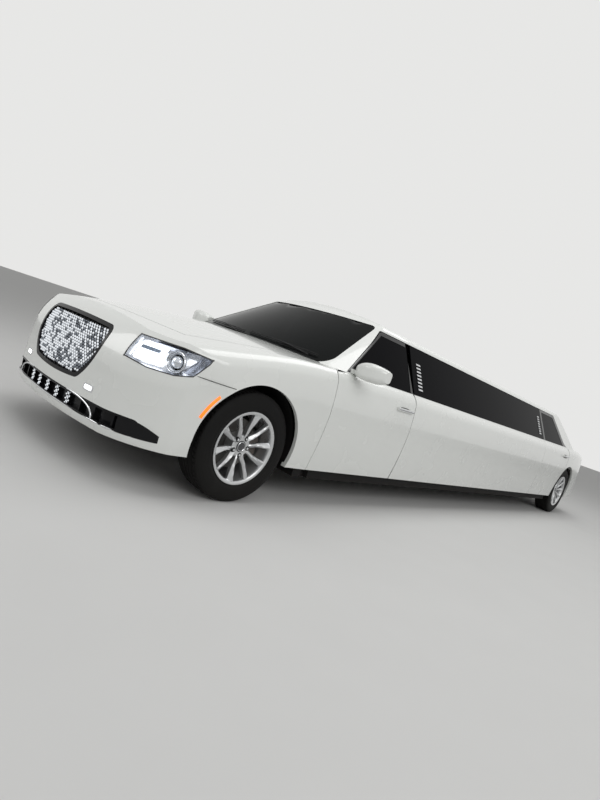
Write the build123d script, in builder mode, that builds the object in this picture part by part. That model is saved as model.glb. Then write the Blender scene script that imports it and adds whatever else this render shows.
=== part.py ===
from build123d import *
from math import cos, hypot, radians, sin, sqrt
import os

# Stretch limousine. X runs forward, Y to the car's left, Z up, in millimetres.
# The origin is on the ground, under the middle of the car.

os.makedirs("parts", exist_ok=True)

# Overall size: a full-size saloon with a length of body let in behind its front doors
SALOON_LENGTH = 5044.0
STRETCH = 3556.0
LENGTH = SALOON_LENGTH + STRETCH
NOSE_X = LENGTH / 2
TAIL_X = -LENGTH / 2
FRONT_OVERHANG = 850.0
REAR_OVERHANG = 1142.0
FRONT_AXLE_X = NOSE_X - FRONT_OVERHANG
REAR_AXLE_X = TAIL_X + REAR_OVERHANG

# Half section of the body at the doors
SILL_Y, SILL_Z = 912.0, 262.0
WIDEST_Y, WIDEST_Z = 951.0, 640.0
SHOULDER_Y, SHOULDER_Z = 935.0, 890.0
BELT_Y, BELT_Z = 884.0, 985.0
CANT_Y, CANT_Z = 664.0, 1395.0
RAIL_Y, RAIL_Z = 600.0, 1436.0
ROOF_Z = 1484.0
GLASS_LEAN = (BELT_Y - CANT_Y) / (CANT_Z - BELT_Z)

# Walls and gaps
SKIN = 24.0
LIP = 40.0
ROOF_WALL = 40.0
PANEL_GAP = 6.0
SEAT_GAP = 0.3
GLASS = 6.0
GLASS_SET_BACK = 3.0
DOOR_INNER_Y = 842.0
FRAME_WALL = 40.0

# Shut lines along the side
FRONT_SEAM_X = FRONT_AXLE_X - 620.0
B_SEAM_X = FRONT_AXLE_X - 1700.0
REAR_SEAM_X = B_SEAM_X - STRETCH
ARCH_R = 405.0
REAR_DOOR_ARCH_R = 468.0
REAR_DOOR_BACK_X = REAR_AXLE_X + 210.0

# Side glass
WINDOW_TOP_Z = 1346.0
WINDOW_LOW_FRONT_Z = 990.0
WINDOW_LOW_REAR_Z = 1012.0
DOOR_TOP_Z = 1376.0
WINDOW_TIP_X = REAR_AXLE_X + 437.0

# Windscreen and rear glass: arcs in plan, slid back or forward as they rise
SCREEN_BASE_X, SCREEN_BASE_Z = FRONT_AXLE_X - 430.0, 1000.0
SCREEN_RUN = 1.71
SCREEN_R = 1404.0
SCREEN_EDGE_LOW_Y, SCREEN_EDGE_TOP_Y, SCREEN_TOP_Z = 764.0, 605.0, 1410.0
BACKLIGHT_BASE_X, BACKLIGHT_BASE_Z = REAR_AXLE_X - 282.0, 1085.0
BACKLIGHT_RUN = 1.68
BACKLIGHT_R = 1500.0
BACKLIGHT_EDGE_LOW_Y, BACKLIGHT_EDGE_TOP_Y, BACKLIGHT_TOP_Z = 700.0, 590.0, 1425.0

# Wheels
TYRE_R = 350.0
TYRE_WIDTH = 215.0
RIM_R = 233.0
HUB_Z = TYRE_R
TRACK_FRONT = 1611.0
TRACK_REAR = 1620.0
STEER_Y = 740.0

# Hinges
DOOR_HINGE_Y = 915.0
DOOR_NOSE_R = 75.0
HINGE_PIN_R = 8.0
PIN_CLEARANCE = 0.3
HINGE_ARM_H = 40.0
HINGE_LEVELS = (440.0, 760.0)
HINGE_WELL_Y = 931.0
DOOR_OPEN = 60.0
HOOD_HINGE_X, HOOD_HINGE_Z, HOOD_HINGE_Y = FRONT_AXLE_X - 650.0, 930.0, 712.0
LID_HINGE_X, LID_HINGE_Z = BACKLIGHT_BASE_X - 70.0, 1020.0
LID_NOSE_R = 80.0


def write_part(part, name):
    part.label = name
    export_step(part, f"parts/{name}.step")


def write_pair(left, name):
    write_part(left, f"{name}_left")
    write_part(mirror(left, about=Plane.XZ), f"{name}_right")


def side_block(outline, y_low, y_high):
    """A block with its outline in x and z, from y_low to y_high."""
    with BuildPart() as block:
        with BuildSketch(Plane.XZ.offset(-y_high)):
            with BuildLine():
                Polyline(*outline, close=True)
            make_face()
        extrude(amount=y_high - y_low)
    return block.part


def end_block(outline, x_low, x_high):
    """A block with its outline in y and z, from x_low to x_high."""
    with BuildPart() as block:
        with BuildSketch(Plane.YZ.offset(x_low)):
            with BuildLine():
                Polyline(*outline, close=True)
            make_face()
        extrude(amount=x_high - x_low)
    return block.part


def plan_block(outline, z_low, z_high):
    """A block with its outline in x and y, from z_low to z_high."""
    with BuildPart() as block:
        with BuildSketch(Plane.XY.offset(z_low)):
            with BuildLine():
                Polyline(*outline, close=True)
            make_face()
        extrude(amount=z_high - z_low)
    return block.part


def cell(x_low, x_high, y_low, y_high, z_low, z_high):
    """A plain block between two corners."""
    return plan_block(((x_low, y_low), (x_high, y_low), (x_high, y_high), (x_low, y_high)), z_low, z_high)


def rod(radius, start, end):
    """A round bar from start to end."""
    run = Vector(*end) - Vector(*start)
    with BuildPart() as bar:
        with BuildSketch(Plane(origin=start, z_dir=run)):
            Circle(radius)
        extrude(amount=run.length)
    return bar.part


# Sections of the front and rear of the body. Each row gives, from its axle:
# x, sill y and z, widest y and z, shoulder y and z, crown edge y and z, middle z
FRONT_ROWS = (
    (-690, SILL_Y, SILL_Z, WIDEST_Y, WIDEST_Z, SHOULDER_Y, SHOULDER_Z, 884, 980, 1020),
    (-560, SILL_Y, SILL_Z, WIDEST_Y, WIDEST_Z, SHOULDER_Y, SHOULDER_Z, 882, 976, 1016),
    (-100, 910, 262, 949, 640, 932, 868, 858, 948, 990),
    (350, 900, 255, 932, 600, 908, 805, 800, 885, 945),
    (650, 850, 250, 885, 580, 865, 745, 740, 838, 902),
    (900, 790, 245, 820, 560, 795, 690, 660, 785, 850),
)
REAR_ROWS = (
    (560, SILL_Y, SILL_Z, WIDEST_Y, WIDEST_Z, SHOULDER_Y, SHOULDER_Z, BELT_Y, BELT_Z, 1075),
    (430, SILL_Y, SILL_Z, WIDEST_Y, WIDEST_Z, SHOULDER_Y, SHOULDER_Z, BELT_Y, BELT_Z, 1080),
    (-100, 910, 262, 948, 640, 932, 915, 868, 1008, 1092),
    (-500, 895, 262, 930, 650, 908, 905, 838, 1004, 1086),
    (-900, 860, 270, 886, 660, 858, 885, 784, 982, 1068),
    (-1180, 800, 280, 830, 660, 805, 865, 730, 955, 1048),
)
# Height, and how far ahead of the axle the nose reaches in the middle of the car
NOSE_REACH = (
    (200, 800),
    (330, 850),
    (460, 847.6),
    (640, 838),
    (800, 780),
    (900, 690),
    (1040, 520),
)
# Height, and how far behind the axle the tail reaches
TAIL_REACH = ((200, 1100), (420, 1139.4), (620, 1133), (800, 1100), (960, 1050), (1100, 960))
# Plan of the nose: how far back from its tip, and how far out; the last row runs on straight
NOSE_PLAN = ((60, 600), (165, 760), (330, 880), (540, 930), (800, 975))
TAIL_PLAN = ((50, 620), (140, 770), (290, 880), (500, 930), (760, 975))


def body_section(x, row, inset):
    """One closed section of the body, drawn in by the inset."""
    _, sill_y, sill_z, wide_y, wide_z, shoulder_y, shoulder_z, crown_y, crown_z, middle_z = row
    sill = (sill_y - inset, sill_z + inset)
    wide = (wide_y - inset, wide_z)
    shoulder = (shoulder_y - inset, shoulder_z - inset * 0.3)
    crown = (crown_y - inset * 0.5, crown_z - inset * 0.9)
    middle = (0, middle_z - inset)
    with BuildSketch(Plane.YZ.offset(x)) as section:
        with BuildLine():
            Line((-sill[0], sill[1]), sill)
            RadiusArc(sill, wide, -2800)
            RadiusArc(wide, shoulder, -1600)
            RadiusArc(shoulder, crown, -130)
            ThreePointArc(crown, middle, (-crown[0], crown[1]))
            RadiusArc((-crown[0], crown[1]), (-shoulder[0], shoulder[1]), -130)
            RadiusArc((-shoulder[0], shoulder[1]), (-wide[0], wide[1]), -1600)
            RadiusArc((-wide[0], wide[1]), (-sill[0], sill[1]), -2800)
        make_face()
    return section.sketch


def end_outline(z, tip_x, plan, way, inset):
    """Plan of the nose (way 1) or the tail (way -1) at one height, drawn in by the inset."""
    tip = tip_x - way * inset
    points = [(tip - way * back, out - inset) for back, out in plan[:-1]]
    points.append((tip - way * plan[-1][0], plan[-1][1]))
    root_x = tip - way * 1700
    with BuildSketch(Plane.XY.offset(z)) as outline:
        with BuildLine():
            for side in (1, -1):
                a, b, c, d, e = [(x, side * y) for x, y in points]
                ThreePointArc(a, b, c)
                ThreePointArc(c, d, e)
                Line(e, (root_x, e[1]))
            ThreePointArc((points[0][0], -points[0][1]), (tip, 0), points[0])
            Line((root_x, -points[-1][1]), (root_x, points[-1][1]))
        make_face()
    return outline.sketch


def end_body(axle_x, rows, reach, plan, way, inset):
    """The solid form of the car's front or rear: sections along x, trimmed to their plan."""
    with BuildPart() as trim:
        for z, ahead in reach:
            add(end_outline(z, axle_x + way * ahead, plan, way, inset))
        loft()
    with BuildPart() as body:
        for row in rows:
            add(body_section(axle_x + row[0], row, inset))
        loft()
        add(trim.part, mode=Mode.INTERSECT)
    return body.part


def front_body(inset):
    return end_body(FRONT_AXLE_X, FRONT_ROWS, NOSE_REACH, NOSE_PLAN, 1, inset)


def rear_body(inset):
    return end_body(REAR_AXLE_X, REAR_ROWS, TAIL_REACH, TAIL_PLAN, -1, inset)


def glass_slab(base_x, base_z, run, radius, way, inset):
    """All that lies behind a windscreen (way 1), or ahead of a rear glass (way -1)."""
    foot_z, head_z = 880.0, 1560.0
    apex = base_x + way * (base_z - foot_z) * run - way * inset * hypot(1, run)
    reach = 1000.0
    sag = radius - sqrt(radius**2 - reach**2)
    far_x = apex - way * LENGTH
    with BuildPart() as slab:
        with BuildSketch(Plane.XY.offset(foot_z)):
            with BuildLine():
                ThreePointArc((apex - way * sag, -reach), (apex, 0), (apex - way * sag, reach))
                Line((apex - way * sag, reach), (far_x, reach))
                Line((far_x, reach), (far_x, -reach))
                Line((far_x, -reach), (apex - way * sag, -reach))
            make_face()
        rise = head_z - foot_z
        extrude(amount=rise * hypot(1, run), dir=(-way * run, 0, 1))
    return slab.part


def cabin_section(x, inset):
    """Section of the cabin above the belt, drawn in by the inset."""
    side = inset * hypot(1, GLASS_LEAN)
    foot_z = BELT_Z
    foot = (BELT_Y - side, foot_z)
    cant = (CANT_Y - side, CANT_Z - inset * 0.3)
    rail = (RAIL_Y - inset * 0.7, RAIL_Z - inset * 0.9)
    with BuildSketch(Plane.YZ.offset(x)) as section:
        with BuildLine():
            Line((-foot[0], foot_z), foot)
            Line(foot, cant)
            RadiusArc(cant, rail, -110)
            ThreePointArc(rail, (0, ROOF_Z - inset), (-rail[0], rail[1]))
            RadiusArc((-rail[0], rail[1]), (-cant[0], cant[1]), -110)
            Line((-cant[0], cant[1]), (-foot[0], foot_z))
        make_face()
    return section.sketch


def cabin_body(inset):
    """The solid form of the cabin above the belt, from windscreen to rear glass."""
    with BuildPart() as cabin:
        section = cabin_section(BACKLIGHT_BASE_X - 300, inset)
        extrude(section, amount=SCREEN_BASE_X - BACKLIGHT_BASE_X + 600)
        screen = (SCREEN_BASE_X, SCREEN_BASE_Z, SCREEN_RUN, SCREEN_R, 1, inset)
        add(glass_slab(*screen), mode=Mode.INTERSECT)
        backlight = (BACKLIGHT_BASE_X, BACKLIGHT_BASE_Z, BACKLIGHT_RUN, BACKLIGHT_R, -1, inset)
        add(glass_slab(*backlight), mode=Mode.INTERSECT)
    return cabin.part


def corner_x(z):
    """Where the windscreen's surface meets the side glass, at height z."""
    side_y = BELT_Y - GLASS_LEAN * (z - BELT_Z)
    apex = SCREEN_BASE_X - SCREEN_RUN * (z - SCREEN_BASE_Z)
    return apex - (SCREEN_R - sqrt(SCREEN_R**2 - side_y**2))


def side_section(top_z):
    """Section of a door or side panel: thick below the belt, thin beside the glass."""
    lean_in = FRAME_WALL * hypot(1, GLASS_LEAN)
    top_y = BELT_Y - GLASS_LEAN * (top_z - BELT_Z)
    belt_in_z = BELT_Z - 30
    belt_in_y = BELT_Y - GLASS_LEAN * (belt_in_z - BELT_Z) - lean_in
    with BuildSketch(Plane.YZ) as section:
        with BuildLine():
            Line((DOOR_INNER_Y, SILL_Z), (SILL_Y, SILL_Z))
            RadiusArc((SILL_Y, SILL_Z), (WIDEST_Y, WIDEST_Z), -2800)
            RadiusArc((WIDEST_Y, WIDEST_Z), (SHOULDER_Y, SHOULDER_Z), -1600)
            RadiusArc((SHOULDER_Y, SHOULDER_Z), (BELT_Y, BELT_Z), -130)
            Line((BELT_Y, BELT_Z), (top_y, top_z))
            Line((top_y, top_z), (top_y - lean_in, top_z))
            Line((top_y - lean_in, top_z), (belt_in_y, belt_in_z))
            Line((belt_in_y, belt_in_z), (DOOR_INNER_Y, belt_in_z - 12))
            Line((DOOR_INNER_Y, belt_in_z - 12), (DOOR_INNER_Y, SILL_Z))
        make_face()
    return section.sketch


def side_run(x_low, x_high, top_z):
    """A length of the car's left side."""
    with BuildPart() as run:
        extrude(side_section(top_z).moved(Location((x_low, 0, 0))), amount=x_high - x_low)
    return run.part


def window_low_z(x):
    """Lower edge of the side glass: it rises evenly towards the rear."""
    share = (FRONT_SEAM_X - x) / (FRONT_SEAM_X - WINDOW_TIP_X)
    return WINDOW_LOW_FRONT_Z + share * (WINDOW_LOW_REAR_Z - WINDOW_LOW_FRONT_Z)


WINDOW_FRAME = 34.0
PILLAR_BAND = 62.0
REAR_TIP_RUN = 330.0

front_window_low_x = corner_x(WINDOW_LOW_FRONT_Z) - WINDOW_FRAME
front_window_top_x = corner_x(WINDOW_TOP_Z) - WINDOW_FRAME
FRONT_WINDOW = (
    (B_SEAM_X + PILLAR_BAND, window_low_z(B_SEAM_X)),
    (front_window_low_x, WINDOW_LOW_FRONT_Z),
    (front_window_top_x, WINDOW_TOP_Z),
    (B_SEAM_X + PILLAR_BAND, WINDOW_TOP_Z),
)
REAR_WINDOW = (
    (WINDOW_TIP_X, window_low_z(WINDOW_TIP_X)),
    (REAR_SEAM_X - PILLAR_BAND, window_low_z(REAR_SEAM_X)),
    (REAR_SEAM_X - PILLAR_BAND, WINDOW_TOP_Z),
    (WINDOW_TIP_X + REAR_TIP_RUN, WINDOW_TOP_Z),
)


def upright(x, y, radius, z_low, z_high):
    """A vertical cylinder, its seam turned to the rear."""
    base = Plane(origin=(x, y, z_low), x_dir=(-1, 0, 0), z_dir=(0, 0, 1))
    with BuildPart() as post:
        with BuildSketch(base):
            Circle(radius)
        extrude(amount=z_high - z_low)
    return post.part


NOSE_SET_BACK = sqrt(DOOR_NOSE_R**2 - (WIDEST_Y - DOOR_HINGE_Y) ** 2)
FRONT_PIN_X = FRONT_SEAM_X - NOSE_SET_BACK
REAR_PIN_X = REAR_SEAM_X - NOSE_SET_BACK
ARM_ANGLE = -60.0
ARM_W = 22.0
ARM_GAP = 5.0
REAR_FACE_SLANT = 0.29
DOOR_PIN_LENGTH = 24.0
NOSE_TOP_Z = BELT_Z + 4.0
NOSE_CHORD = (8.0, 42.0)


def hinge_well(pin_x, z_low, z_high):
    """The hollow that a fixed hinge arm stands in, as wide as the door's swing needs."""
    reach = DOOR_NOSE_R + 12
    round_pin = ARM_W / 2 + ARM_GAP + 8
    from_angle = radians(ARM_ANGLE - 50)
    skin_y = HINGE_WELL_Y - DOOR_HINGE_Y
    outline = (
        (-round_pin, skin_y),
        (-round_pin, -round_pin),
        (reach * cos(from_angle), reach * sin(from_angle)),
        (reach, reach * sin(from_angle)),
        (reach, skin_y),
    )
    return plan_block([(pin_x + x, DOOR_HINGE_Y + y) for x, y in outline], z_low, z_high)


def door_shell(pin_x, back_x, front_x, outline):
    """A door's solid: its run of the side, trimmed to its outline and round its hinge line."""
    with BuildPart() as door:
        add(side_run(back_x, front_x, DOOR_TOP_Z))
        add(side_block(outline, 500, 1000), mode=Mode.INTERSECT)
        # the rear face slants so that the inner edge is the shorter one
        inner_x = back_x + REAR_FACE_SLANT * (WIDEST_Y - 500)
        jamb = ((back_x - 50, 1000), (back_x, 1000), (back_x, WIDEST_Y), (inner_x, 500), (back_x - 50, 500))
        add(plan_block(jamb, 200, 1500), mode=Mode.SUBTRACT)
        # ahead of the pin only what lies within the nose radius is left
        ahead = cell(pin_x, pin_x + 200, 600, 1000, SILL_Z - 20, NOSE_TOP_Z)
        nose = upright(pin_x, DOOR_HINGE_Y, DOOR_NOSE_R, SILL_Z - 30, BELT_Z + 20)
        add(ahead - nose, mode=Mode.SUBTRACT)
        # the skin's front edge is flat, along a chord of the nose
        chord = [(pin_x + sqrt(DOOR_NOSE_R**2 - rise**2), DOOR_HINGE_Y + rise) for rise in NOSE_CHORD]
        beyond = chord + [(x + DOOR_NOSE_R, y) for x, y in reversed(chord)]
        add(plan_block(beyond, SILL_Z - 20, NOSE_TOP_Z), mode=Mode.SUBTRACT)
        for level in HINGE_LEVELS:
            low, high = level - HINGE_ARM_H / 2 - ARM_GAP, level + HINGE_ARM_H / 2 + ARM_GAP
            # a well for the fixed arm, closed by the skin
            add(hinge_well(pin_x, low, high), mode=Mode.SUBTRACT)
            bore = HINGE_PIN_R + PIN_CLEARANCE
            deep = DOOR_PIN_LENGTH + 2
            add(upright(pin_x, DOOR_HINGE_Y, bore, low - deep, high + deep), mode=Mode.SUBTRACT)
    return door.part


def hinge_arms(pin_x):
    """The fixed halves of a door's two hinges: an arm from the post to the pin."""
    run = 150.0
    end = (pin_x + run * cos(radians(ARM_ANGLE)), DOOR_HINGE_Y + run * sin(radians(ARM_ANGLE)))
    side = (ARM_W / 2 * sin(radians(-ARM_ANGLE)), ARM_W / 2 * cos(radians(ARM_ANGLE)))
    outline = (
        (pin_x + side[0], DOOR_HINGE_Y + side[1]),
        (end[0] + side[0], end[1] + side[1]),
        (end[0] - side[0], end[1] - side[1]),
        (pin_x - side[0], DOOR_HINGE_Y - side[1]),
    )
    with BuildPart() as arms:
        for level in HINGE_LEVELS:
            low, high = level - HINGE_ARM_H / 2, level + HINGE_ARM_H / 2
            add(plan_block(outline, low, high))
            add(upright(pin_x, DOOR_HINGE_Y, ARM_W / 2, low, high))
            pin_low, pin_high = low - DOOR_PIN_LENGTH, high + DOOR_PIN_LENGTH
            add(upright(pin_x, DOOR_HINGE_Y, HINGE_PIN_R, pin_low, pin_high))
    return arms.part


def glass_pane(outline, x_low, x_high, gap):
    """Side glass: a leaning sheet just under the surface, within an outline drawn in by the gap."""
    lean = hypot(1, GLASS_LEAN)
    outer, inner = GLASS_SET_BACK * lean, (GLASS_SET_BACK + GLASS) * lean
    foot_z, head_z = BELT_Z - 5, WINDOW_TOP_Z + 20

    def side_y(z, depth):
        return BELT_Y - GLASS_LEAN * (z - BELT_Z) - depth

    sheet = (
        (side_y(foot_z, inner), foot_z),
        (side_y(foot_z, outer), foot_z),
        (side_y(head_z, outer), head_z),
        (side_y(head_z, inner), head_z),
    )
    with BuildPart() as pane:
        add(end_block(sheet, x_low, x_high))
        with BuildSketch(Plane.XZ.offset(-1000)):
            with BuildLine():
                Polyline(*outline, close=True)
            make_face()
            offset(amount=-gap, kind=Kind.INTERSECTION)
        extrude(amount=600, mode=Mode.INTERSECT)
    return pane.part


def handle(x_front, x_back, z, skin_y):
    """A pull handle standing off the door skin on two feet."""
    stand, bar, tall = 26.0, 14.0, 24.0
    y_skin = skin_y - 6
    with BuildPart() as grip:
        add(cell(x_back, x_front, skin_y + stand - bar, skin_y + stand, z - tall / 2, z + tall / 2))
        vertical = grip.edges().filter_by(Axis.Z)
        fillet(vertical.sort_by(Axis.Y)[-2:], bar * 0.8)
        foot, half_foot = 34.0, tall / 2 - 2
        y_bar = skin_y + stand - bar + 1
        add(cell(x_back, x_back + foot, y_skin, y_bar, z - half_foot, z + half_foot))
        add(cell(x_front - foot, x_front, y_skin, y_bar, z - half_foot, z + half_foot))
    return grip.part


# Front doors
front_door_x0 = B_SEAM_X + PANEL_GAP / 2
pillar_line = [(corner_x(z) - PANEL_GAP, z) for z in (BELT_Z, DOOR_TOP_Z)]
FRONT_DOOR = (
    (front_door_x0, SILL_Z),
    (FRONT_SEAM_X + 20, SILL_Z),
    (FRONT_SEAM_X + 20, BELT_Z - 14),
    (pillar_line[0][0] + 30, BELT_Z - 10),
    pillar_line[0],
    pillar_line[1],
    (front_door_x0, DOOR_TOP_Z),
)
HANDLE_Z = 852.0
HANDLE_LENGTH = 240.0
HANDLE_INSET = 45.0
HANDLE_SKIN_Y = 940.0
front_handle_back = B_SEAM_X + HANDLE_INSET
with BuildPart() as front_door:
    add(door_shell(FRONT_PIN_X, front_door_x0, FRONT_SEAM_X + 30, FRONT_DOOR))
    add(side_block(FRONT_WINDOW, 500, 1000), mode=Mode.SUBTRACT)
    add(handle(front_handle_back + HANDLE_LENGTH, front_handle_back, HANDLE_Z, HANDLE_SKIN_Y))
write_pair(front_door.part, "front_door")
write_pair(glass_pane(FRONT_WINDOW, B_SEAM_X, FRONT_SEAM_X, SEAT_GAP), "front_door_glass")

# Rear doors: the lower rear edge follows the wheel arch
arch_points = []
for z in (SILL_Z, 400, 520, 640, 740):
    arch_points.append((REAR_AXLE_X + sqrt(REAR_DOOR_ARCH_R**2 - (z - HUB_Z) ** 2), z))
REAR_DOOR = (
    arch_points
    + [(REAR_DOOR_BACK_X, 820), (REAR_DOOR_BACK_X - 25, 990), (WINDOW_TIP_X - 70, 1050)]
    + [(WINDOW_TIP_X + REAR_TIP_RUN - 60, DOOR_TOP_Z)]
    + [(REAR_SEAM_X - PANEL_GAP / 2, DOOR_TOP_Z), (REAR_SEAM_X - PANEL_GAP / 2, NOSE_TOP_Z)]
    + [(REAR_SEAM_X + 40, NOSE_TOP_Z), (REAR_SEAM_X + 40, SILL_Z)]
)
rear_door_x0 = REAR_DOOR_BACK_X - 30
with BuildPart() as rear_door:
    add(door_shell(REAR_PIN_X, rear_door_x0, REAR_SEAM_X + 30, REAR_DOOR))
    add(side_block(REAR_WINDOW, 500, 1000), mode=Mode.SUBTRACT)
    rear_handle_back = REAR_DOOR_BACK_X + HANDLE_INSET + 15
    add(handle(rear_handle_back + HANDLE_LENGTH, rear_handle_back, HANDLE_Z + 35, HANDLE_SKIN_Y))
write_pair(rear_door.part, "rear_door")
write_pair(glass_pane(REAR_WINDOW, WINDOW_TIP_X - 100, REAR_SEAM_X, SEAT_GAP), "rear_door_glass")

# Side panels of the stretch, and the dark glass above them
side_x0, side_x1 = REAR_SEAM_X + PANEL_GAP / 2, B_SEAM_X - PANEL_GAP / 2
SIDE_PANEL = (
    (side_x0, SILL_Z),
    (side_x1, SILL_Z),
    (side_x1, window_low_z(side_x1)),
    (side_x0, window_low_z(side_x0)),
)
with BuildPart() as side_panel:
    add(side_run(side_x0, side_x1, DOOR_TOP_Z))
    add(side_block(SIDE_PANEL, 500, 1000), mode=Mode.INTERSECT)
    # room for the rear door's nose and its hinge arms
    nose_room = upright(REAR_PIN_X, DOOR_HINGE_Y, DOOR_NOSE_R + ARM_GAP, 200, NOSE_TOP_Z + PANEL_GAP)
    add(nose_room, mode=Mode.SUBTRACT)
    add(cell(side_x0 - 1, REAR_PIN_X + 165, 700, DOOR_HINGE_Y - 20, 200, 940), mode=Mode.SUBTRACT)
write_pair(side_panel.part, "side_panel")
SIDE_GLASS = (
    (side_x0, window_low_z(side_x0) + SEAT_GAP),
    (side_x1, window_low_z(side_x1) + SEAT_GAP),
    (side_x1, DOOR_TOP_Z),
    (side_x0, DOOR_TOP_Z),
)
SIDE_GLASS_WALL = 10.0


def glass_band():
    lean = hypot(1, GLASS_LEAN)
    foot_z = BELT_Z

    def side_y(z, depth):
        return BELT_Y - GLASS_LEAN * (z - BELT_Z) - depth * lean

    sheet = (
        (side_y(foot_z, SIDE_GLASS_WALL), foot_z),
        (side_y(foot_z, 1), foot_z),
        (side_y(DOOR_TOP_Z, 1), DOOR_TOP_Z),
        (side_y(DOOR_TOP_Z, SIDE_GLASS_WALL), DOOR_TOP_Z),
    )
    with BuildPart() as band:
        add(end_block(sheet, side_x0, side_x1))
        add(side_block(SIDE_GLASS, 500, 1000), mode=Mode.INTERSECT)
    return band.part


with BuildPart() as side_glass:
    left_band = glass_band()
    add(left_band)
    add(mirror(left_band, about=Plane.XZ))
write_part(side_glass.part, "side_glass")

# Gills: eight bright bars on the black pillars behind the front doors and ahead of the rear doors
GILL_BARS = 8
GILL_PITCH, GILL_TALL, GILL_PROUD = 28.0, 19.0, 8.0
GILL_WIDE = 72.0
GILL_PLACES = ((1640.0, 1040.0), (-1667.0, 1062.0))


def gill_bar(x_mid, low_z):
    """One bar with bevelled edges, flat on the leaning glass."""
    high_z = low_z + GILL_TALL
    bevel = 3.0
    section = (
        (glass_face_y(low_z, 1), low_z),
        (glass_face_y(low_z, -GILL_PROUD), low_z + bevel),
        (glass_face_y(high_z, -GILL_PROUD), high_z - bevel),
        (glass_face_y(high_z, 1), high_z),
    )
    return end_block(section, x_mid - GILL_WIDE / 2, x_mid + GILL_WIDE / 2)


def glass_face_y(z, depth):
    return BELT_Y - GLASS_LEAN * (z - BELT_Z) - depth


with BuildPart() as gills:
    for x_mid, first_z in GILL_PLACES:
        for row in range(GILL_BARS):
            bar = gill_bar(x_mid, first_z + row * GILL_PITCH)
            add(bar)
            add(mirror(bar, about=Plane.XZ))
write_part(gills.part, "gills")


# Front of the body: one shell, parted at its real seams
HOOD_WALL = 26.0
HOOD_FRONT_X = FRONT_AXLE_X + 622.0
HOOD_FRONT_SAG = 150.0
HOOD_FRONT_Y = 640.0
HOOD_BACK_Y = 756.0
HOOD_SIDE_BULGE = 26.0
HOOD_BACK_X = SCREEN_BASE_X + 28.0
HOOD_BACK_SIDE_X = SCREEN_BASE_X - 92.0
BUMPER_SEAM_X = FRONT_AXLE_X + 330.0
BUMPER_TOP_Z = 693.0
HOOD_BOTTOM_Z = 720.0
HOOD_BACK_GAP, HOOD_CORNER_GAP = 10.0, 6.0


def hood_outline(gap, corner_gap, z):
    """Plan of the hood, grown by the gap, and by more at its rear corners."""
    front_y, back_y = HOOD_FRONT_Y + gap, HOOD_BACK_Y + gap
    front_x, corner = HOOD_FRONT_X + gap, HOOD_FRONT_X - HOOD_FRONT_SAG + gap
    back_x, back_side = HOOD_BACK_X - gap, HOOD_BACK_SIDE_X - gap - corner_gap
    mid_x, mid_y = (corner + back_side) / 2, (front_y + back_y) / 2 + HOOD_SIDE_BULGE
    with BuildSketch(Plane.XY.offset(z)) as plan:
        with BuildLine():
            ThreePointArc((corner, -front_y), (front_x, 0), (corner, front_y))
            ThreePointArc((corner, front_y), (mid_x, mid_y), (back_side, back_y))
            ThreePointArc((back_side, back_y), (back_x, 0), (back_side, -back_y))
            ThreePointArc((back_side, -back_y), (mid_x, -mid_y), (corner, -front_y))
        make_face()
    return plan.sketch


def hood_zone(gap, corner_gap=0):
    with BuildPart() as zone:
        extrude(hood_outline(gap, corner_gap, HOOD_BOTTOM_Z), amount=400)
    return zone.part


front_outer = front_body(0)
front_inner = front_body(SKIN)
front_under = front_body(HOOD_WALL)
front_shell = front_outer - front_inner
ARM_WALL = 10.0
HOOD_ARM_H = 26.0
# hollow in the arm's top edge, which passes under the foot of the pillar when the hood is open
ARM_HOLLOW_FROM, ARM_HOLLOW_TO = 45.0, 105.0
with BuildPart() as hood:
    add(front_outer)
    add(front_under, mode=Mode.SUBTRACT)
    add(hood_zone(0), mode=Mode.INTERSECT)
    # plate arms that reach back under the screen to the hinge pins
    for side in (1, -1):
        y = side * HOOD_HINGE_Y - ARM_WALL / 2
        arm = (
            (HOOD_HINGE_X, HOOD_HINGE_Z - HOOD_ARM_H / 2),
            (HOOD_HINGE_X + 330, HOOD_HINGE_Z - HOOD_ARM_H / 2 + 8),
            (HOOD_HINGE_X + 330, 950),
            (HOOD_BACK_SIDE_X + 30, 965),
            (HOOD_BACK_SIDE_X + 14, HOOD_HINGE_Z + HOOD_ARM_H / 2),
            (HOOD_HINGE_X + ARM_HOLLOW_TO, HOOD_HINGE_Z),
            (HOOD_HINGE_X + ARM_HOLLOW_FROM, HOOD_HINGE_Z),
            (HOOD_HINGE_X, HOOD_HINGE_Z + HOOD_ARM_H / 2),
        )
        add(side_block(arm, y, y + ARM_WALL))
        eye_ends = (HOOD_HINGE_X, y, HOOD_HINGE_Z), (HOOD_HINGE_X, y + ARM_WALL, HOOD_HINGE_Z)
        add(rod(HOOD_ARM_H / 2, *eye_ends))
        pin_bore = HINGE_PIN_R + PIN_CLEARANCE
        ends = (HOOD_HINGE_X, y - 1, HOOD_HINGE_Z), (HOOD_HINGE_X, y + ARM_WALL + 1, HOOD_HINGE_Z)
        add(rod(pin_bore, *ends), mode=Mode.SUBTRACT)
write_part(hood.part, "hood")

# Lamp, grille and intake outlines
# x ahead of the front axle and z, round the lamp
LAMP_OUTLINE = (
    (880, 700),
    (880, 814),
    (700, 822),
    (560, 824),
    (415, 808),
    (432, 776),
    (505, 690),
    (590, 667),
    (700, 664),
    (800, 692),
)
LAMP_INNER_Y = 598.0
LAMP_DEPTH = 70.0
GRILLE_TOP_Y, GRILLE_TOP_Z = 400.0, 808.0
GRILLE_LOW_Y, GRILLE_LOW_Z = 290.0, 462.0
GRILLE_MID_Y, GRILLE_MID_Z = 408.0, 640.0
GRILLE_CORNER_R = 60.0
INTAKE_TOP_Z, INTAKE_LOW_Z = 384.0, 290.0
INTAKE_Y = 780.0
INTAKE_CORNER_R = 30.0
TRIM_DEPTH = 60.0
front_deep = front_body(TRIM_DEPTH)


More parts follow.
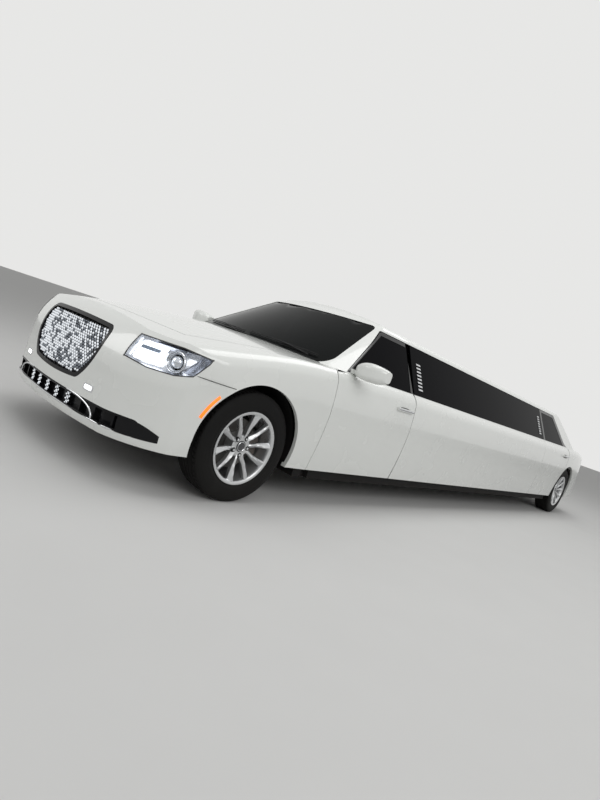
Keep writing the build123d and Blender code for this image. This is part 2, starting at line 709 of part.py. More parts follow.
def lamp_zone(gap):
    with BuildPart() as zone:
        with BuildSketch(Plane.XZ.offset(-1000)):
            with BuildLine():
                Polyline(*[(FRONT_AXLE_X + x, z) for x, z in LAMP_OUTLINE], close=True)
            make_face()
            if gap:
                offset(amount=gap, kind=Kind.INTERSECTION)
        extrude(amount=1000 - LAMP_INNER_Y + gap)
    return zone.part


def grille_zone(gap):
    top_y, top_z = GRILLE_TOP_Y + gap, GRILLE_TOP_Z + gap
    low_y, low_z = GRILLE_LOW_Y + gap, GRILLE_LOW_Z - gap
    mid_y = GRILLE_MID_Y + gap
    with BuildPart() as zone:
        with BuildSketch(Plane.YZ.offset(NOSE_X - 300)):
            with BuildLine():
                for side in (1, -1):
                    middle = (side * mid_y, GRILLE_MID_Z)
                    ThreePointArc((side * top_y, top_z), middle, (side * low_y, low_z))
                ThreePointArc((-top_y, top_z), (0, top_z + 10), (top_y, top_z))
                ThreePointArc((-low_y, low_z), (0, low_z - 16), (low_y, low_z))
            face = make_face()
            fillet(face.vertices(), GRILLE_CORNER_R + gap)
        extrude(amount=400)
    return zone.part


def intake_zone(gap):
    with BuildPart() as zone:
        with BuildSketch(Plane.YZ.offset(FRONT_AXLE_X + 420)):
            with Locations((0, (INTAKE_TOP_Z + INTAKE_LOW_Z) / 2)):
                tall = INTAKE_TOP_Z - INTAKE_LOW_Z + 2 * gap
                RectangleRounded(2 * (INTAKE_Y + gap), tall, INTAKE_CORNER_R)
        extrude(amount=600)
    return zone.part


BUMPER_SIDE = (
    (BUMPER_SEAM_X - 75, 100),
    (BUMPER_SEAM_X - 75, BUMPER_TOP_Z),
    (BUMPER_SEAM_X + 185, BUMPER_TOP_Z),
    (BUMPER_SEAM_X + 185, 1000),
    (NOSE_X + 100, 1000),
    (NOSE_X + 100, 100),
)


def arch_cut(axle_x, radius, y_low, y_high):
    return rod(radius, (axle_x, y_low, HUB_Z), (axle_x, y_high, HUB_Z))


with BuildPart() as front_bumper:
    add(front_shell)
    add(side_block(BUMPER_SIDE, -1000, 1000), mode=Mode.INTERSECT)
    add(hood_zone(PANEL_GAP), mode=Mode.SUBTRACT)
    for side in (1, -1):
        lamp = lamp_zone(SEAT_GAP)
        add(lamp if side > 0 else mirror(lamp, about=Plane.XZ), mode=Mode.SUBTRACT)
    add(grille_zone(0), mode=Mode.SUBTRACT)
    add(intake_zone(0), mode=Mode.SUBTRACT)
    add(arch_cut(FRONT_AXLE_X, ARCH_R, -1000, 1000), mode=Mode.SUBTRACT)
    add(front_body(LIP + 10).moved(Location((0, 0, -80))), mode=Mode.SUBTRACT)
write_part(front_bumper.part, "front_bumper")

# Grille: a rim let into the nose, and a back plate that follows the nose's slope
GRILLE_RIM = 22.0
GRILLE_BACK = 48.0
GRILLE_PLATE = 30.0
GRILLE_DEPTH = GRILLE_BACK + GRILLE_PLATE
slope_low_z, slope_top_z = GRILLE_LOW_Z - 150, GRILLE_TOP_Z + 100
slope = [(FRONT_AXLE_X + reach, z) for z, reach in NOSE_REACH if slope_low_z < z < slope_top_z]
rim_side = [(NOSE_X + 50, slope[0][1]), (NOSE_X + 50, slope[-1][1])] + [
    (x - GRILLE_DEPTH, z) for x, z in reversed(slope)
]
recess_side = [(NOSE_X + 50, slope[0][1]), (NOSE_X + 50, slope[-1][1])] + [
    (x - GRILLE_BACK, z) for x, z in reversed(slope)
]
MESH_PITCH, MESH_BAR, MESH_ANGLE = 58.0, 5.0, 45.0
MESH_FRONT, MESH_THICK = 30.0, 6.0
MESH_BARS = 12


def grille_mesh():
    """Bars crossing in diamonds, in a band that follows the slope of the nose."""
    middle_z = (GRILLE_TOP_Z + GRILLE_LOW_Z) / 2
    with BuildPart() as mesh:
        with BuildSketch(Plane.YZ.offset(NOSE_X - 300)):
            for bar in range(-MESH_BARS, MESH_BARS + 1):
                with Locations((bar * MESH_PITCH, middle_z)):
                    Rectangle(MESH_BAR, GRILLE_TOP_Z, rotation=MESH_ANGLE)
                    Rectangle(MESH_BAR, GRILLE_TOP_Z, rotation=-MESH_ANGLE)
        extrude(amount=400)
        front_line = [(x - MESH_FRONT, z) for x, z in slope]
        back_line = [(x - MESH_FRONT - MESH_THICK, z) for x, z in reversed(slope)]
        add(side_block(front_line + back_line, -GRILLE_MID_Y, GRILLE_MID_Y), mode=Mode.INTERSECT)
        add(grille_zone(3 - GRILLE_RIM), mode=Mode.INTERSECT)
    return mesh.part


with BuildPart() as grille:
    add(grille_zone(-SEAT_GAP))
    add(side_block(rim_side, -2 * GRILLE_MID_Y, 2 * GRILLE_MID_Y), mode=Mode.INTERSECT)
    recess = side_block(recess_side, -2 * GRILLE_MID_Y, 2 * GRILLE_MID_Y)
    add(grille_zone(-GRILLE_RIM) & recess, mode=Mode.SUBTRACT)
    add(front_outer, mode=Mode.INTERSECT)
    add(grille_mesh())
write_part(grille.part, "grille")

# Lower grille: a rim and a plate in the intake
INTAKE_RIM = 12.0
INTAKE_BACK = 34.0
INTAKE_BARS, INTAKE_PITCH, INTAKE_BAR = 11, 130.0, 10.0


def intake_bars():
    """Upright bars that stand on the plate of the lower grille."""
    with BuildPart() as bars:
        for bar in range(INTAKE_BARS):
            y = (bar - (INTAKE_BARS - 1) / 2) * INTAKE_PITCH
            low, high = INTAKE_LOW_Z + INTAKE_RIM - 2, INTAKE_TOP_Z - INTAKE_RIM + 2
            add(cell(FRONT_AXLE_X + 500, NOSE_X, y - INTAKE_BAR / 2, y + INTAKE_BAR / 2, low, high))
        add(front_body(INTAKE_RIM), mode=Mode.INTERSECT)
        add(front_body(INTAKE_BACK + 4), mode=Mode.SUBTRACT)
    return bars.part


with BuildPart() as lower_grille:
    add(front_outer)
    add(front_deep, mode=Mode.SUBTRACT)
    add(intake_zone(-SEAT_GAP), mode=Mode.INTERSECT)
    add(intake_zone(-INTAKE_RIM) - front_body(INTAKE_BACK), mode=Mode.SUBTRACT)
    add(intake_bars())
write_part(lower_grille.part, "lower_grille")

with BuildPart() as lamp_left:
    add(front_outer)
    add(front_body(LAMP_DEPTH), mode=Mode.SUBTRACT)
    add(lamp_zone(0), mode=Mode.INTERSECT)
    add(hood_zone(PANEL_GAP), mode=Mode.SUBTRACT)
with BuildPart() as headlamps:
    add(lamp_left.part)
    add(mirror(lamp_left.part, about=Plane.XZ))
write_part(headlamps.part, "headlamps")

# Front fenders
with BuildPart() as front_fender:
    add(front_shell)
    add(cell(FRONT_PIN_X, NOSE_X, 100, 1000, 100, 1200), mode=Mode.INTERSECT)
    add(side_block(BUMPER_SIDE, -1000, 1000), mode=Mode.SUBTRACT)
    add(hood_zone(PANEL_GAP), mode=Mode.SUBTRACT)
    behind_hood = cell(FRONT_PIN_X, HOOD_BACK_SIDE_X, 0, HOOD_BACK_Y + PANEL_GAP, 100, 1200)
    behind_hood += cell(FRONT_PIN_X, HOOD_BACK_SIDE_X + 20, 0, HOOD_BACK_Y - 5, 100, 1200)
    add(hood_zone(HOOD_BACK_GAP, HOOD_CORNER_GAP) & behind_hood, mode=Mode.SUBTRACT)
    add(lamp_zone(SEAT_GAP), mode=Mode.SUBTRACT)
    add(arch_cut(FRONT_AXLE_X, ARCH_R, 0, 1000), mode=Mode.SUBTRACT)
    add(cell(FRONT_PIN_X - 10, NOSE_X, 0, SILL_Y - 40, 100, 640), mode=Mode.SUBTRACT)
    arm_y = HOOD_HINGE_Y + ARM_WALL / 2 + ARM_GAP
    add(cell(FRONT_PIN_X - 10, SCREEN_BASE_X + 100, 0, arm_y, 100, 1200), mode=Mode.SUBTRACT)
    add(upright(FRONT_PIN_X, DOOR_HINGE_Y, DOOR_NOSE_R + ARM_GAP, 200, 1200), mode=Mode.SUBTRACT)
write_pair(front_fender.part, "front_fender")


# Rear of the body
LID_WALL = 26.0
LID_SIDE_Y = 700.0
LID_FRONT_X = LID_HINGE_X
REAR_BUMPER_TOP_Z = 700.0
REAR_BUMPER_SEAM_X = REAR_AXLE_X - 440.0
TAIL_LAMP = ((-4400, 740), (-4400, 905), (-4110, 925), (-4030, 850), (-4120, 735))
TAIL_LAMP_INNER_Y = 560.0
rear_outer = rear_body(0)
rear_inner = rear_body(SKIN)
rear_shell = rear_outer - rear_inner


def tail_lamp_zone(gap):
    outline = [(TAIL_X + x + 4300, z) for x, z in TAIL_LAMP]
    with BuildPart() as zone:
        with BuildSketch(Plane.XZ.offset(-1000)):
            with BuildLine():
                Polyline(*outline, close=True)
            make_face()
            if gap:
                offset(amount=gap, kind=Kind.INTERSECTION)
        extrude(amount=1000 - TAIL_LAMP_INNER_Y + gap)
    return zone.part


def lid_zone(gap):
    """All of the rear shell that the boot lid takes, grown by the gap."""
    with BuildPart() as zone:
        y = LID_SIDE_Y + gap
        add(cell(TAIL_X - 100, LID_FRONT_X, -y, y, REAR_BUMPER_TOP_Z - gap, 1300))
        nose = LID_NOSE_R + gap
        add(rod(nose, (LID_HINGE_X, -y, LID_HINGE_Z), (LID_HINGE_X, y, LID_HINGE_Z)))
    return zone.part


LID_ARM_Y = 400.0
LID_ARM_WALL = 12.0
with BuildPart() as boot_lid:
    add(rear_outer)
    add(rear_body(LID_WALL), mode=Mode.SUBTRACT)
    add(lid_zone(0), mode=Mode.INTERSECT)
    for side in (1, -1):
        lamp = tail_lamp_zone(PANEL_GAP)
        add(lamp if side > 0 else mirror(lamp, about=Plane.XZ), mode=Mode.SUBTRACT)
        y = side * LID_ARM_Y - LID_ARM_WALL / 2
        arm = (
            (LID_HINGE_X, LID_HINGE_Z - 14),
            (LID_HINGE_X - 120, LID_HINGE_Z - 14),
            (LID_HINGE_X - 120, LID_HINGE_Z + 30),
            (LID_HINGE_X, LID_HINGE_Z + 30),
        )
        add(side_block(arm, y, y + LID_ARM_WALL))
        eye_ends = (LID_HINGE_X, y, LID_HINGE_Z), (LID_HINGE_X, y + LID_ARM_WALL, LID_HINGE_Z)
        add(rod(18, *eye_ends))
        bore_ends = (LID_HINGE_X, y - 1, LID_HINGE_Z), (LID_HINGE_X, y + LID_ARM_WALL + 1, LID_HINGE_Z)
        add(rod(HINGE_PIN_R + PIN_CLEARANCE, *bore_ends), mode=Mode.SUBTRACT)
write_part(boot_lid.part, "boot_lid")

REAR_BUMPER_SIDE = (
    (REAR_BUMPER_SEAM_X, 100),
    (REAR_BUMPER_SEAM_X, REAR_BUMPER_TOP_Z - PANEL_GAP),
    (TAIL_X - 100, REAR_BUMPER_TOP_Z - PANEL_GAP),
    (TAIL_X - 100, 100),
)
with BuildPart() as rear_bumper:
    add(rear_shell)
    add(side_block(REAR_BUMPER_SIDE, -1000, 1000), mode=Mode.INTERSECT)
    add(arch_cut(REAR_AXLE_X, ARCH_R, -1000, 1000), mode=Mode.SUBTRACT)
    add(rear_body(LIP + 10).moved(Location((0, 0, -80))), mode=Mode.SUBTRACT)
write_part(rear_bumper.part, "rear_bumper")

with BuildPart() as tail_lamp_left:
    add(rear_outer)
    add(rear_body(TRIM_DEPTH), mode=Mode.SUBTRACT)
    add(tail_lamp_zone(0), mode=Mode.INTERSECT)
    add(cell(TAIL_X - 100, LID_FRONT_X, 0, LID_SIDE_Y + PANEL_GAP, 0, 1300), mode=Mode.SUBTRACT)
with BuildPart() as tail_lamps:
    add(tail_lamp_left.part)
    add(mirror(tail_lamp_left.part, about=Plane.XZ))
write_part(tail_lamps.part, "tail_lamps")

quarter_side = (
    arch_points
    + [(REAR_DOOR_BACK_X, 820), (REAR_DOOR_BACK_X - 25, 990), (REAR_DOOR_BACK_X - 25, 1200)]
    + [(TAIL_X - 100, 1200), (TAIL_X - 100, SILL_Z - 60), (arch_points[0][0], SILL_Z - 60)]
)
with BuildPart() as rear_quarter:
    add(rear_shell)
    add(side_block([(x - PANEL_GAP, z) for x, z in quarter_side], 0, 1000), mode=Mode.INTERSECT)
    add(side_block(REAR_BUMPER_SIDE, -1000, 1000), mode=Mode.SUBTRACT)
    add(lid_zone(PANEL_GAP), mode=Mode.SUBTRACT)
    add(tail_lamp_zone(SEAT_GAP), mode=Mode.SUBTRACT)
    add(arch_cut(REAR_AXLE_X, ARCH_R, 0, 1000), mode=Mode.SUBTRACT)
    add(cell(TAIL_X - 100, 0, 0, SILL_Y - 40, 100, 640), mode=Mode.SUBTRACT)
    add(cell(LID_FRONT_X - 60, 0, 0, LID_SIDE_Y + PANEL_GAP, 100, 1300), mode=Mode.SUBTRACT)
write_pair(rear_quarter.part, "rear_quarter")

# Roof, pillars and the openings for the screens
cabin_outer = cabin_body(0)
cabin_inner = cabin_body(ROOF_WALL)


def screen_zone(base_x, base_z, run, low_y, top_y, top_z, low_z, way, gap):
    """The windscreen's opening (way 1) or the rear glass's: its corners, joined across the car."""
    outline = (
        (-low_y - gap, low_z - gap),
        (low_y + gap, low_z - gap),
        (top_y + gap, top_z + gap),
        (-top_y - gap, top_z + gap),
    )
    foot_x = base_x + way * 200
    with BuildPart() as zone:
        with BuildSketch(Plane.YZ.offset(min(foot_x, foot_x - way * 1400))):
            with BuildLine():
                Polyline(*outline, close=True)
            face = make_face()
            top = face.vertices().sort_by(Axis.Z)[-2:]
            fillet(top, 60)
        extrude(amount=1400)
    return zone.part


def windscreen_zone(gap):
    edges = (SCREEN_EDGE_LOW_Y, SCREEN_EDGE_TOP_Y, SCREEN_TOP_Z, BELT_Z)
    return screen_zone(SCREEN_BASE_X, SCREEN_BASE_Z, SCREEN_RUN, *edges, 1, gap)


def backlight_zone(gap):
    edges = (BACKLIGHT_EDGE_LOW_Y, BACKLIGHT_EDGE_TOP_Y, BACKLIGHT_TOP_Z, BACKLIGHT_BASE_Z)
    return screen_zone(BACKLIGHT_BASE_X, BACKLIGHT_BASE_Z, BACKLIGHT_RUN, *edges, -1, gap)


POST_W = 90.0
POST_SET = 16.0
DOOR_CLEAR = 6.0
with BuildPart() as upper_body:
    add(cabin_outer)
    add(cabin_inner, mode=Mode.SUBTRACT)
    add(windscreen_zone(0), mode=Mode.SUBTRACT)
    add(backlight_zone(0), mode=Mode.SUBTRACT)
    # side openings for the doors and the long glass
    hole = (
        (corner_x(BELT_Z) + 0, BELT_Z - 5),
        (corner_x(BELT_Z), BELT_Z),
        (corner_x(DOOR_TOP_Z), DOOR_TOP_Z + DOOR_CLEAR),
        (WINDOW_TIP_X + REAR_TIP_RUN - 60 - 8, DOOR_TOP_Z + DOOR_CLEAR),
        (WINDOW_TIP_X - 78, 1050),
        (REAR_DOOR_BACK_X - 31, 990),
        (REAR_DOOR_BACK_X - 31, BELT_Z - 5),
    )
    add(side_block(hole, -1000, 1000), mode=Mode.SUBTRACT)
    add(rear_outer, mode=Mode.SUBTRACT)
    add(front_outer, mode=Mode.SUBTRACT)
    # deck between the rear glass and the boot lid
    deck_y = LID_SIDE_Y + PANEL_GAP - SEAT_GAP
    deck = rear_shell & cell(LID_FRONT_X - 60, BACKLIGHT_BASE_X + 300, -deck_y, deck_y, 900, 1200)
    backlight = (BACKLIGHT_BASE_X, BACKLIGHT_BASE_Z, BACKLIGHT_RUN, BACKLIGHT_R, -1, -2.0)
    add(deck - lid_zone(PANEL_GAP) - glass_slab(*backlight))
write_part(upper_body.part, "upper_body")

with BuildPart() as windscreen:
    add(cabin_body(GLASS_SET_BACK))
    add(cabin_body(GLASS_SET_BACK + GLASS), mode=Mode.SUBTRACT)
    add(windscreen_zone(-SEAT_GAP), mode=Mode.INTERSECT)
    add(cell(corner_x(DOOR_TOP_Z) - 200, NOSE_X, -900, 900, 900, 1600), mode=Mode.INTERSECT)
    add(front_outer, mode=Mode.SUBTRACT)
write_part(windscreen.part, "windscreen")
with BuildPart() as rear_window:
    add(cabin_body(GLASS_SET_BACK))
    add(cabin_body(GLASS_SET_BACK + GLASS), mode=Mode.SUBTRACT)
    add(backlight_zone(-SEAT_GAP), mode=Mode.INTERSECT)
    add(cell(TAIL_X, BACKLIGHT_BASE_X + 700, -900, 900, 900, 1600), mode=Mode.INTERSECT)
write_part(rear_window.part, "rear_window")


# Cowl between the hood and the windscreen, open where the hood's arms rise
ARM_SLOT = ARM_WALL + 2 * ARM_GAP
with BuildPart() as cowl_panel:
    add(front_shell)
    back_x = SCREEN_BASE_X - 330
    side_y = HOOD_HINGE_Y - ARM_SLOT / 2
    add(cell(back_x, SCREEN_BASE_X + 60, -side_y, side_y, 900, 1100), mode=Mode.INTERSECT)
    add(hood_zone(HOOD_BACK_GAP, HOOD_CORNER_GAP), mode=Mode.SUBTRACT)
    screen = (SCREEN_BASE_X, SCREEN_BASE_Z, SCREEN_RUN, SCREEN_R, 1, -2.0)
    add(glass_slab(*screen), mode=Mode.SUBTRACT)
write_part(cowl_panel.part, "cowl_panel")

# Floor, sills, rails, posts and wheel houses in one
FLOOR_Z = 208.0
SILL_LOW_Z = 190.0
SHEET = 20.0
FLOOR_BACK_X = REAR_AXLE_X + 470.0
FLOOR_FRONT_X = FRONT_PIN_X - 12.0
FIREWALL_X = FRONT_AXLE_X - 560.0
BOOT_FLOOR_Z = 482.0
RAIL_IN_Y, RAIL_OUT_Y = 400.0, 470.0
LINER_R = ARCH_R + 7.0
LINER_WALL = 6.0
TUNNEL_TOP_Z = 402.0
half_floor = (
    (0, TUNNEL_TOP_Z),
    (128, TUNNEL_TOP_Z),
    (148, FLOOR_Z + SHEET),
    (700, FLOOR_Z + SHEET),
    (700, 400),
    (832, 400),
    (832, SILL_Z - PANEL_GAP),
    (872, SILL_Z - PANEL_GAP),
    (872, SILL_LOW_Z),
    (680, SILL_LOW_Z),
    (680, FLOOR_Z),
    (128, FLOOR_Z),
    (110, 382),
    (0, 382),
)
floor_section = [(y, z) for y, z in half_floor] + [(-y, z) for y, z in half_floor[-2:0:-1]]


def lean_post(x_low, x_high, low_z):
    """A roof post just inside the side glass, from low_z to the roof."""
    lean = hypot(1, GLASS_LEAN)
    outer, inner = (FRAME_WALL + POST_SET) * lean, (FRAME_WALL + POST_SET + 36) * lean
    rise = GLASS_LEAN * (ROOF_Z - BELT_Z)
    outline = (
        (BELT_Y - inner, low_z),
        (BELT_Y - outer, low_z),
        (BELT_Y - outer, BELT_Z),
        (BELT_Y - outer - rise, ROOF_Z),
        (BELT_Y - inner - rise, ROOF_Z),
        (BELT_Y - inner, BELT_Z),
    )
    with BuildPart() as post:
        add(end_block(outline, x_low, x_high))
        add(cell(x_low, x_high, 0, 1000, low_z, BELT_Z) + cabin_inner, mode=Mode.INTERSECT)
    return post.part


def left_frame():
    """The left-hand pieces of the body frame that are mirrored to the right."""
    with BuildPart() as frame:
        # hinge posts
        for pin_x in (FRONT_PIN_X, REAR_PIN_X):
            high = 920 if pin_x == FRONT_PIN_X else 935
            add(cell(pin_x - 10, pin_x + 150, 720, SILL_Y - LIP - SEAT_GAP, SILL_LOW_Z + 5, high))
            add(upright(pin_x, DOOR_HINGE_Y, DOOR_NOSE_R + ARM_GAP, 100, 1100), mode=Mode.SUBTRACT)
            add(cell(pin_x - 11, pin_x, 832, 1000, 100, 1100), mode=Mode.SUBTRACT)
            add(hinge_arms(pin_x))
        # posts to the roof behind the front door and ahead of the rear door
        add(lean_post(B_SEAM_X - 12 - POST_W, B_SEAM_X - 12, 392))
        add(lean_post(REAR_PIN_X + 45, REAR_PIN_X + 45 + POST_W, 800))
        # rib that the long side panel rests on
        add(cell(side_x0 + 170, side_x1 - 5, 820, DOOR_INNER_Y - SEAT_GAP, SILL_Z + 2, 400))
        # rails fore and aft
        add(cell(FIREWALL_X - 10, FRONT_AXLE_X + 690, RAIL_IN_Y, RAIL_OUT_Y, 400, 480))
        add(cell(TAIL_X + 130, FLOOR_BACK_X, RAIL_IN_Y, RAIL_OUT_Y, BOOT_FLOOR_Z - 70, BOOT_FLOOR_Z))
        # dash side walls and scuttle ends
        add(cell(FLOOR_FRONT_X - 20, FIREWALL_X, 670, 700, FLOOR_Z, 880))
        # wheel houses
        for axle_x, inner_y, outer_y in ((FRONT_AXLE_X, 520, 886), (REAR_AXLE_X, 640, 884)):
            hollow = arch_cut(axle_x, LINER_R, inner_y - 1, outer_y + 1)
            ring = arch_cut(axle_x, LINER_R + LINER_WALL, inner_y, outer_y) - hollow
            limit = front_body(SKIN + SEAT_GAP) if axle_x > 0 else rear_body(SKIN + SEAT_GAP)
            add(ring & cell(axle_x - 500, axle_x + 500, inner_y, outer_y, HUB_Z - 50, 900) & limit)
        add(cell(FIREWALL_X - 2, FRONT_AXLE_X - 380, RAIL_OUT_Y - 5, 700, 400, 420))
        for axle_x, edge_y in ((FRONT_AXLE_X, 524), (REAR_AXLE_X, 644)):
            for way in (-1, 1):
                near, far = axle_x + way * 200, axle_x + way * 412
                add(cell(min(near, far), max(near, far), RAIL_OUT_Y - 5, edge_y, 440, 480))
    return frame.part


with BuildPart() as body_frame:
    add(end_block(floor_section, FLOOR_BACK_X, FLOOR_FRONT_X))
    add(cell(FLOOR_FRONT_X - 1, FIREWALL_X + SHEET, -735, 735, FLOOR_Z, FLOOR_Z + SHEET))
    add(cell(FIREWALL_X, FIREWALL_X + SHEET, -700, 700, FLOOR_Z, 880))
    add(cell(FLOOR_FRONT_X - 1, FIREWALL_X + SHEET, -112, 112, FLOOR_Z - 20, 382), mode=Mode.SUBTRACT)
    add(cell(FLOOR_BACK_X - SHEET, FLOOR_BACK_X, -712, 712, FLOOR_Z, BOOT_FLOOR_Z))
    add(cell(FLOOR_BACK_X - SHEET - 1, FLOOR_BACK_X + 1, -112, 112, FLOOR_Z - 20, 382), mode=Mode.SUBTRACT)
    add(cell(TAIL_X + 150, FLOOR_BACK_X, -RAIL_OUT_Y, RAIL_OUT_Y, BOOT_FLOOR_Z - 12, BOOT_FLOOR_Z))
    # seat bulkhead and parcel shelf
    add(cell(BACKLIGHT_BASE_X + 400, BACKLIGHT_BASE_X + 412, -640, 640, BOOT_FLOOR_Z - 12, 1030))
    add(cell(LID_HINGE_X + LID_NOSE_R + 12, BACKLIGHT_BASE_X + 412, -560, 560, 1018, 1030))
    # bumper beams
    add(cell(FRONT_AXLE_X + 640, FRONT_AXLE_X + 690, -600, 600, 430, 520))
    add(cell(TAIL_X + 120, TAIL_X + 160, -600, 600, 340, 470))
    left = left_frame()
    add(left)
    add(mirror(left, about=Plane.XZ))
    # hood and boot lid hinge pins and their brackets
    for side in (1, -1):
        for x, y, z, wall, low in (
            (HOOD_HINGE_X, HOOD_HINGE_Y, HOOD_HINGE_Z, ARM_WALL, 700),
            (LID_HINGE_X, LID_ARM_Y, LID_HINGE_Z, LID_ARM_WALL, LID_HINGE_Z - LID_NOSE_R - 20),
        ):
            mid = side * y
            half = wall / 2
            add(rod(HINGE_PIN_R, (x, mid - half - 8, z), (x, mid + half + 8, z)))
            for way in (1, -1):
                inner = mid + way * (half + 1.5)
                outer = mid + way * (half + 9)
                y0, y1 = min(inner, outer), max(inner, outer)
                add(rod(16, (x, y0, z), (x, y1, z)))
                add(cell(x - 14, x + 14, y0, y1, min(low, z - 60), z))
    lid_beam_z = LID_HINGE_Z - LID_NOSE_R - 28
    add(cell(LID_HINGE_X - 14, LID_HINGE_X + LID_NOSE_R + 22, -560, 560, lid_beam_z, lid_beam_z + 14))
    add(cell(LID_HINGE_X + LID_NOSE_R + 10, LID_HINGE_X + LID_NOSE_R + 22, -560, 560, lid_beam_z, 1030))
write_part(body_frame.part, "body_frame")


# Tyres and rims, made about the wheel's own centre plane
FLANGE_Y = 102.0
FLANGE_WALL = 5.0
SEAT_R = 216.0
BARREL_WALL = 8.0
HUB_R = 72.0
HUB_BORE_R = 25.0 + SEAT_GAP
HUB_IN_Y, HUB_OUT_Y = -12.0, 66.0
DISC_R, DISC_IN_Y, DISC_OUT_Y = 160.0, -36.0, -14.0
SPOKE_PAIRS = 5
FIRST_SPOKE = -100.0
# Spoke sections from hub to rim: radius, width, inner and outer face from the wheel's
# centre, degrees from the middle of the pair, and degrees of twist
SPOKE_ROWS = (
    (52.0, 26.0, 28.0, 58.0, 13.0, 16.0),
    (125.0, 20.0, 44.0, 74.0, 19.0, 0.0),
    (211.0, 27.0, 62.0, 90.0, 17.0, -14.0),
)
LUGS = 5
LUG_CIRCLE_R = 57.5
LUG_R = 11.0


def profile_plane(plane):
    """Plane of the wheel's half section: local x is the radius, local y runs out of the car."""
    return Plane(origin=plane.origin, x_dir=plane.x_dir, z_dir=-plane.y_dir)


def tyre_solid(plane):
    bead_y = FLANGE_Y - FLANGE_WALL - SEAT_GAP
    half = TYRE_WIDTH / 2
    tread_y = half - 22
    with BuildPart() as tyre:
        with BuildSketch(profile_plane(plane)):
            with BuildLine():
                for side in (1, -1):
                    Line((SEAT_R + SEAT_GAP, side * (bead_y - 12)), (SEAT_R + SEAT_GAP, side * bead_y))
                    Line((SEAT_R + SEAT_GAP, side * bead_y), (RIM_R + 2, side * bead_y))
                    ThreePointArc((RIM_R + 2, side * bead_y), (285, side * half), (332, side * (half - 8)))
                    shoulder = (332, side * (half - 8)), (344, side * (half - 14))
                    ThreePointArc(*shoulder, (TYRE_R - 2, side * tread_y))
                    inner_bead = (SEAT_R + SEAT_GAP, side * (bead_y - 12))
                    ThreePointArc(inner_bead, (285, side * (half - 12)), (334, side * (half - 26)))
                ThreePointArc((TYRE_R - 2, tread_y), (TYRE_R, 0), (TYRE_R - 2, -tread_y))
                ThreePointArc((334, half - 26), (338, 0), (334, -half + 26))
            make_face()
        revolve(axis=Axis(plane.origin, plane.z_dir))
    return tyre.part


def rim_solid(plane):
    inner_r = SEAT_R - BARREL_WALL
    y, wall = FLANGE_Y, FLANGE_WALL
    with BuildPart() as rim:
        with BuildSketch(profile_plane(plane)):
            with BuildLine():
                Polyline(
                    (inner_r, -y),
                    (RIM_R, -y),
                    (RIM_R, -y + wall),
                    (SEAT_R, -y + wall),
                    (SEAT_R, -y + 30),
                    (SEAT_R - 4, -y + 42),
                    (SEAT_R - 4, y - 62),
                    (SEAT_R, y - 40),
                    (SEAT_R, y - wall),
                    (RIM_R, y - wall),
                    (RIM_R, y),
                    (inner_r + 2, y - 4),
                    (inner_r, y - 40),
                    close=True,
                )
            make_face()
            with BuildLine():
                Polyline(
                    (HUB_BORE_R, HUB_IN_Y),
                    (HUB_R, HUB_IN_Y),
                    (HUB_R, HUB_OUT_Y - 6),
                    (HUB_R - 10, HUB_OUT_Y),
                    (34, HUB_OUT_Y),
                    (34, HUB_OUT_Y + 4),
                    (0, HUB_OUT_Y + 7),
                    (0, HUB_OUT_Y - 8),
                    (HUB_BORE_R, HUB_OUT_Y - 8),
                    close=True,
                )
            make_face()
            with BuildLine():
                Polyline(
                    (HUB_R - 12, DISC_IN_Y),
                    (DISC_R, DISC_IN_Y),
                    (DISC_R, DISC_OUT_Y),
                    (HUB_R, DISC_OUT_Y),
                    (HUB_R, HUB_IN_Y + 1),
                    (HUB_R - 12, HUB_IN_Y + 1),
                    close=True,
                )
            make_face()
        revolve(axis=Axis(plane.origin, plane.z_dir))
        for pair in range(SPOKE_PAIRS):
            for way in (-1, 1):
                for radius, width, inner, outer, swing, twist in SPOKE_ROWS:
                    angle = radians(FIRST_SPOKE + pair * 360 / SPOKE_PAIRS + way * swing)
                    outward = plane.x_dir * cos(angle) + plane.y_dir * sin(angle)
                    sideways = outward.cross(plane.z_dir) * (way * sin(radians(twist)))
                    across = plane.z_dir * cos(radians(twist)) + sideways
                    section = Plane(plane.origin + outward * radius, x_dir=across, z_dir=outward)
                    with BuildSketch(section):
                        with Locations(((inner + outer) / 2, 0)):
                            Rectangle(outer - inner, width)
                loft()
        lug_plane = plane.offset(HUB_OUT_Y + 1)
        with BuildSketch(lug_plane):
            with PolarLocations(LUG_CIRCLE_R - 8, LUGS):
                Circle(LUG_R)
        extrude(amount=-14, mode=Mode.SUBTRACT)
    return rim.part


WHEELS = (
    ("front", FRONT_AXLE_X, TRACK_FRONT / 2),
    ("rear", REAR_AXLE_X, TRACK_REAR / 2),
)
middle_plane = Plane(origin=(0, 0, HUB_Z), x_dir=(1, 0, 0), z_dir=(0, 1, 0))
rim = rim_solid(middle_plane)
tyre = tyre_solid(middle_plane)
for place, axle_x, wheel_y in WHEELS:
    at_wheel = Location((axle_x, wheel_y, 0))
    write_pair(rim.moved(at_wheel), f"{place}_rim")
    write_pair(tyre.moved(at_wheel), f"{place}_tyre")

# Steering knuckles, with the brake calipers
SPINDLE_R = HUB_BORE_R - SEAT_GAP
BALL_R = 9.0
BALL_LOW_Z, BALL_HIGH_Z = 206.0, 498.0
LUG_H = 22.0
wheel_y = TRACK_FRONT / 2
KNUCKLE_IN_Y = STEER_Y - 42.0
KNUCKLE_OUT_Y = wheel_y + DISC_IN_Y - ARM_GAP


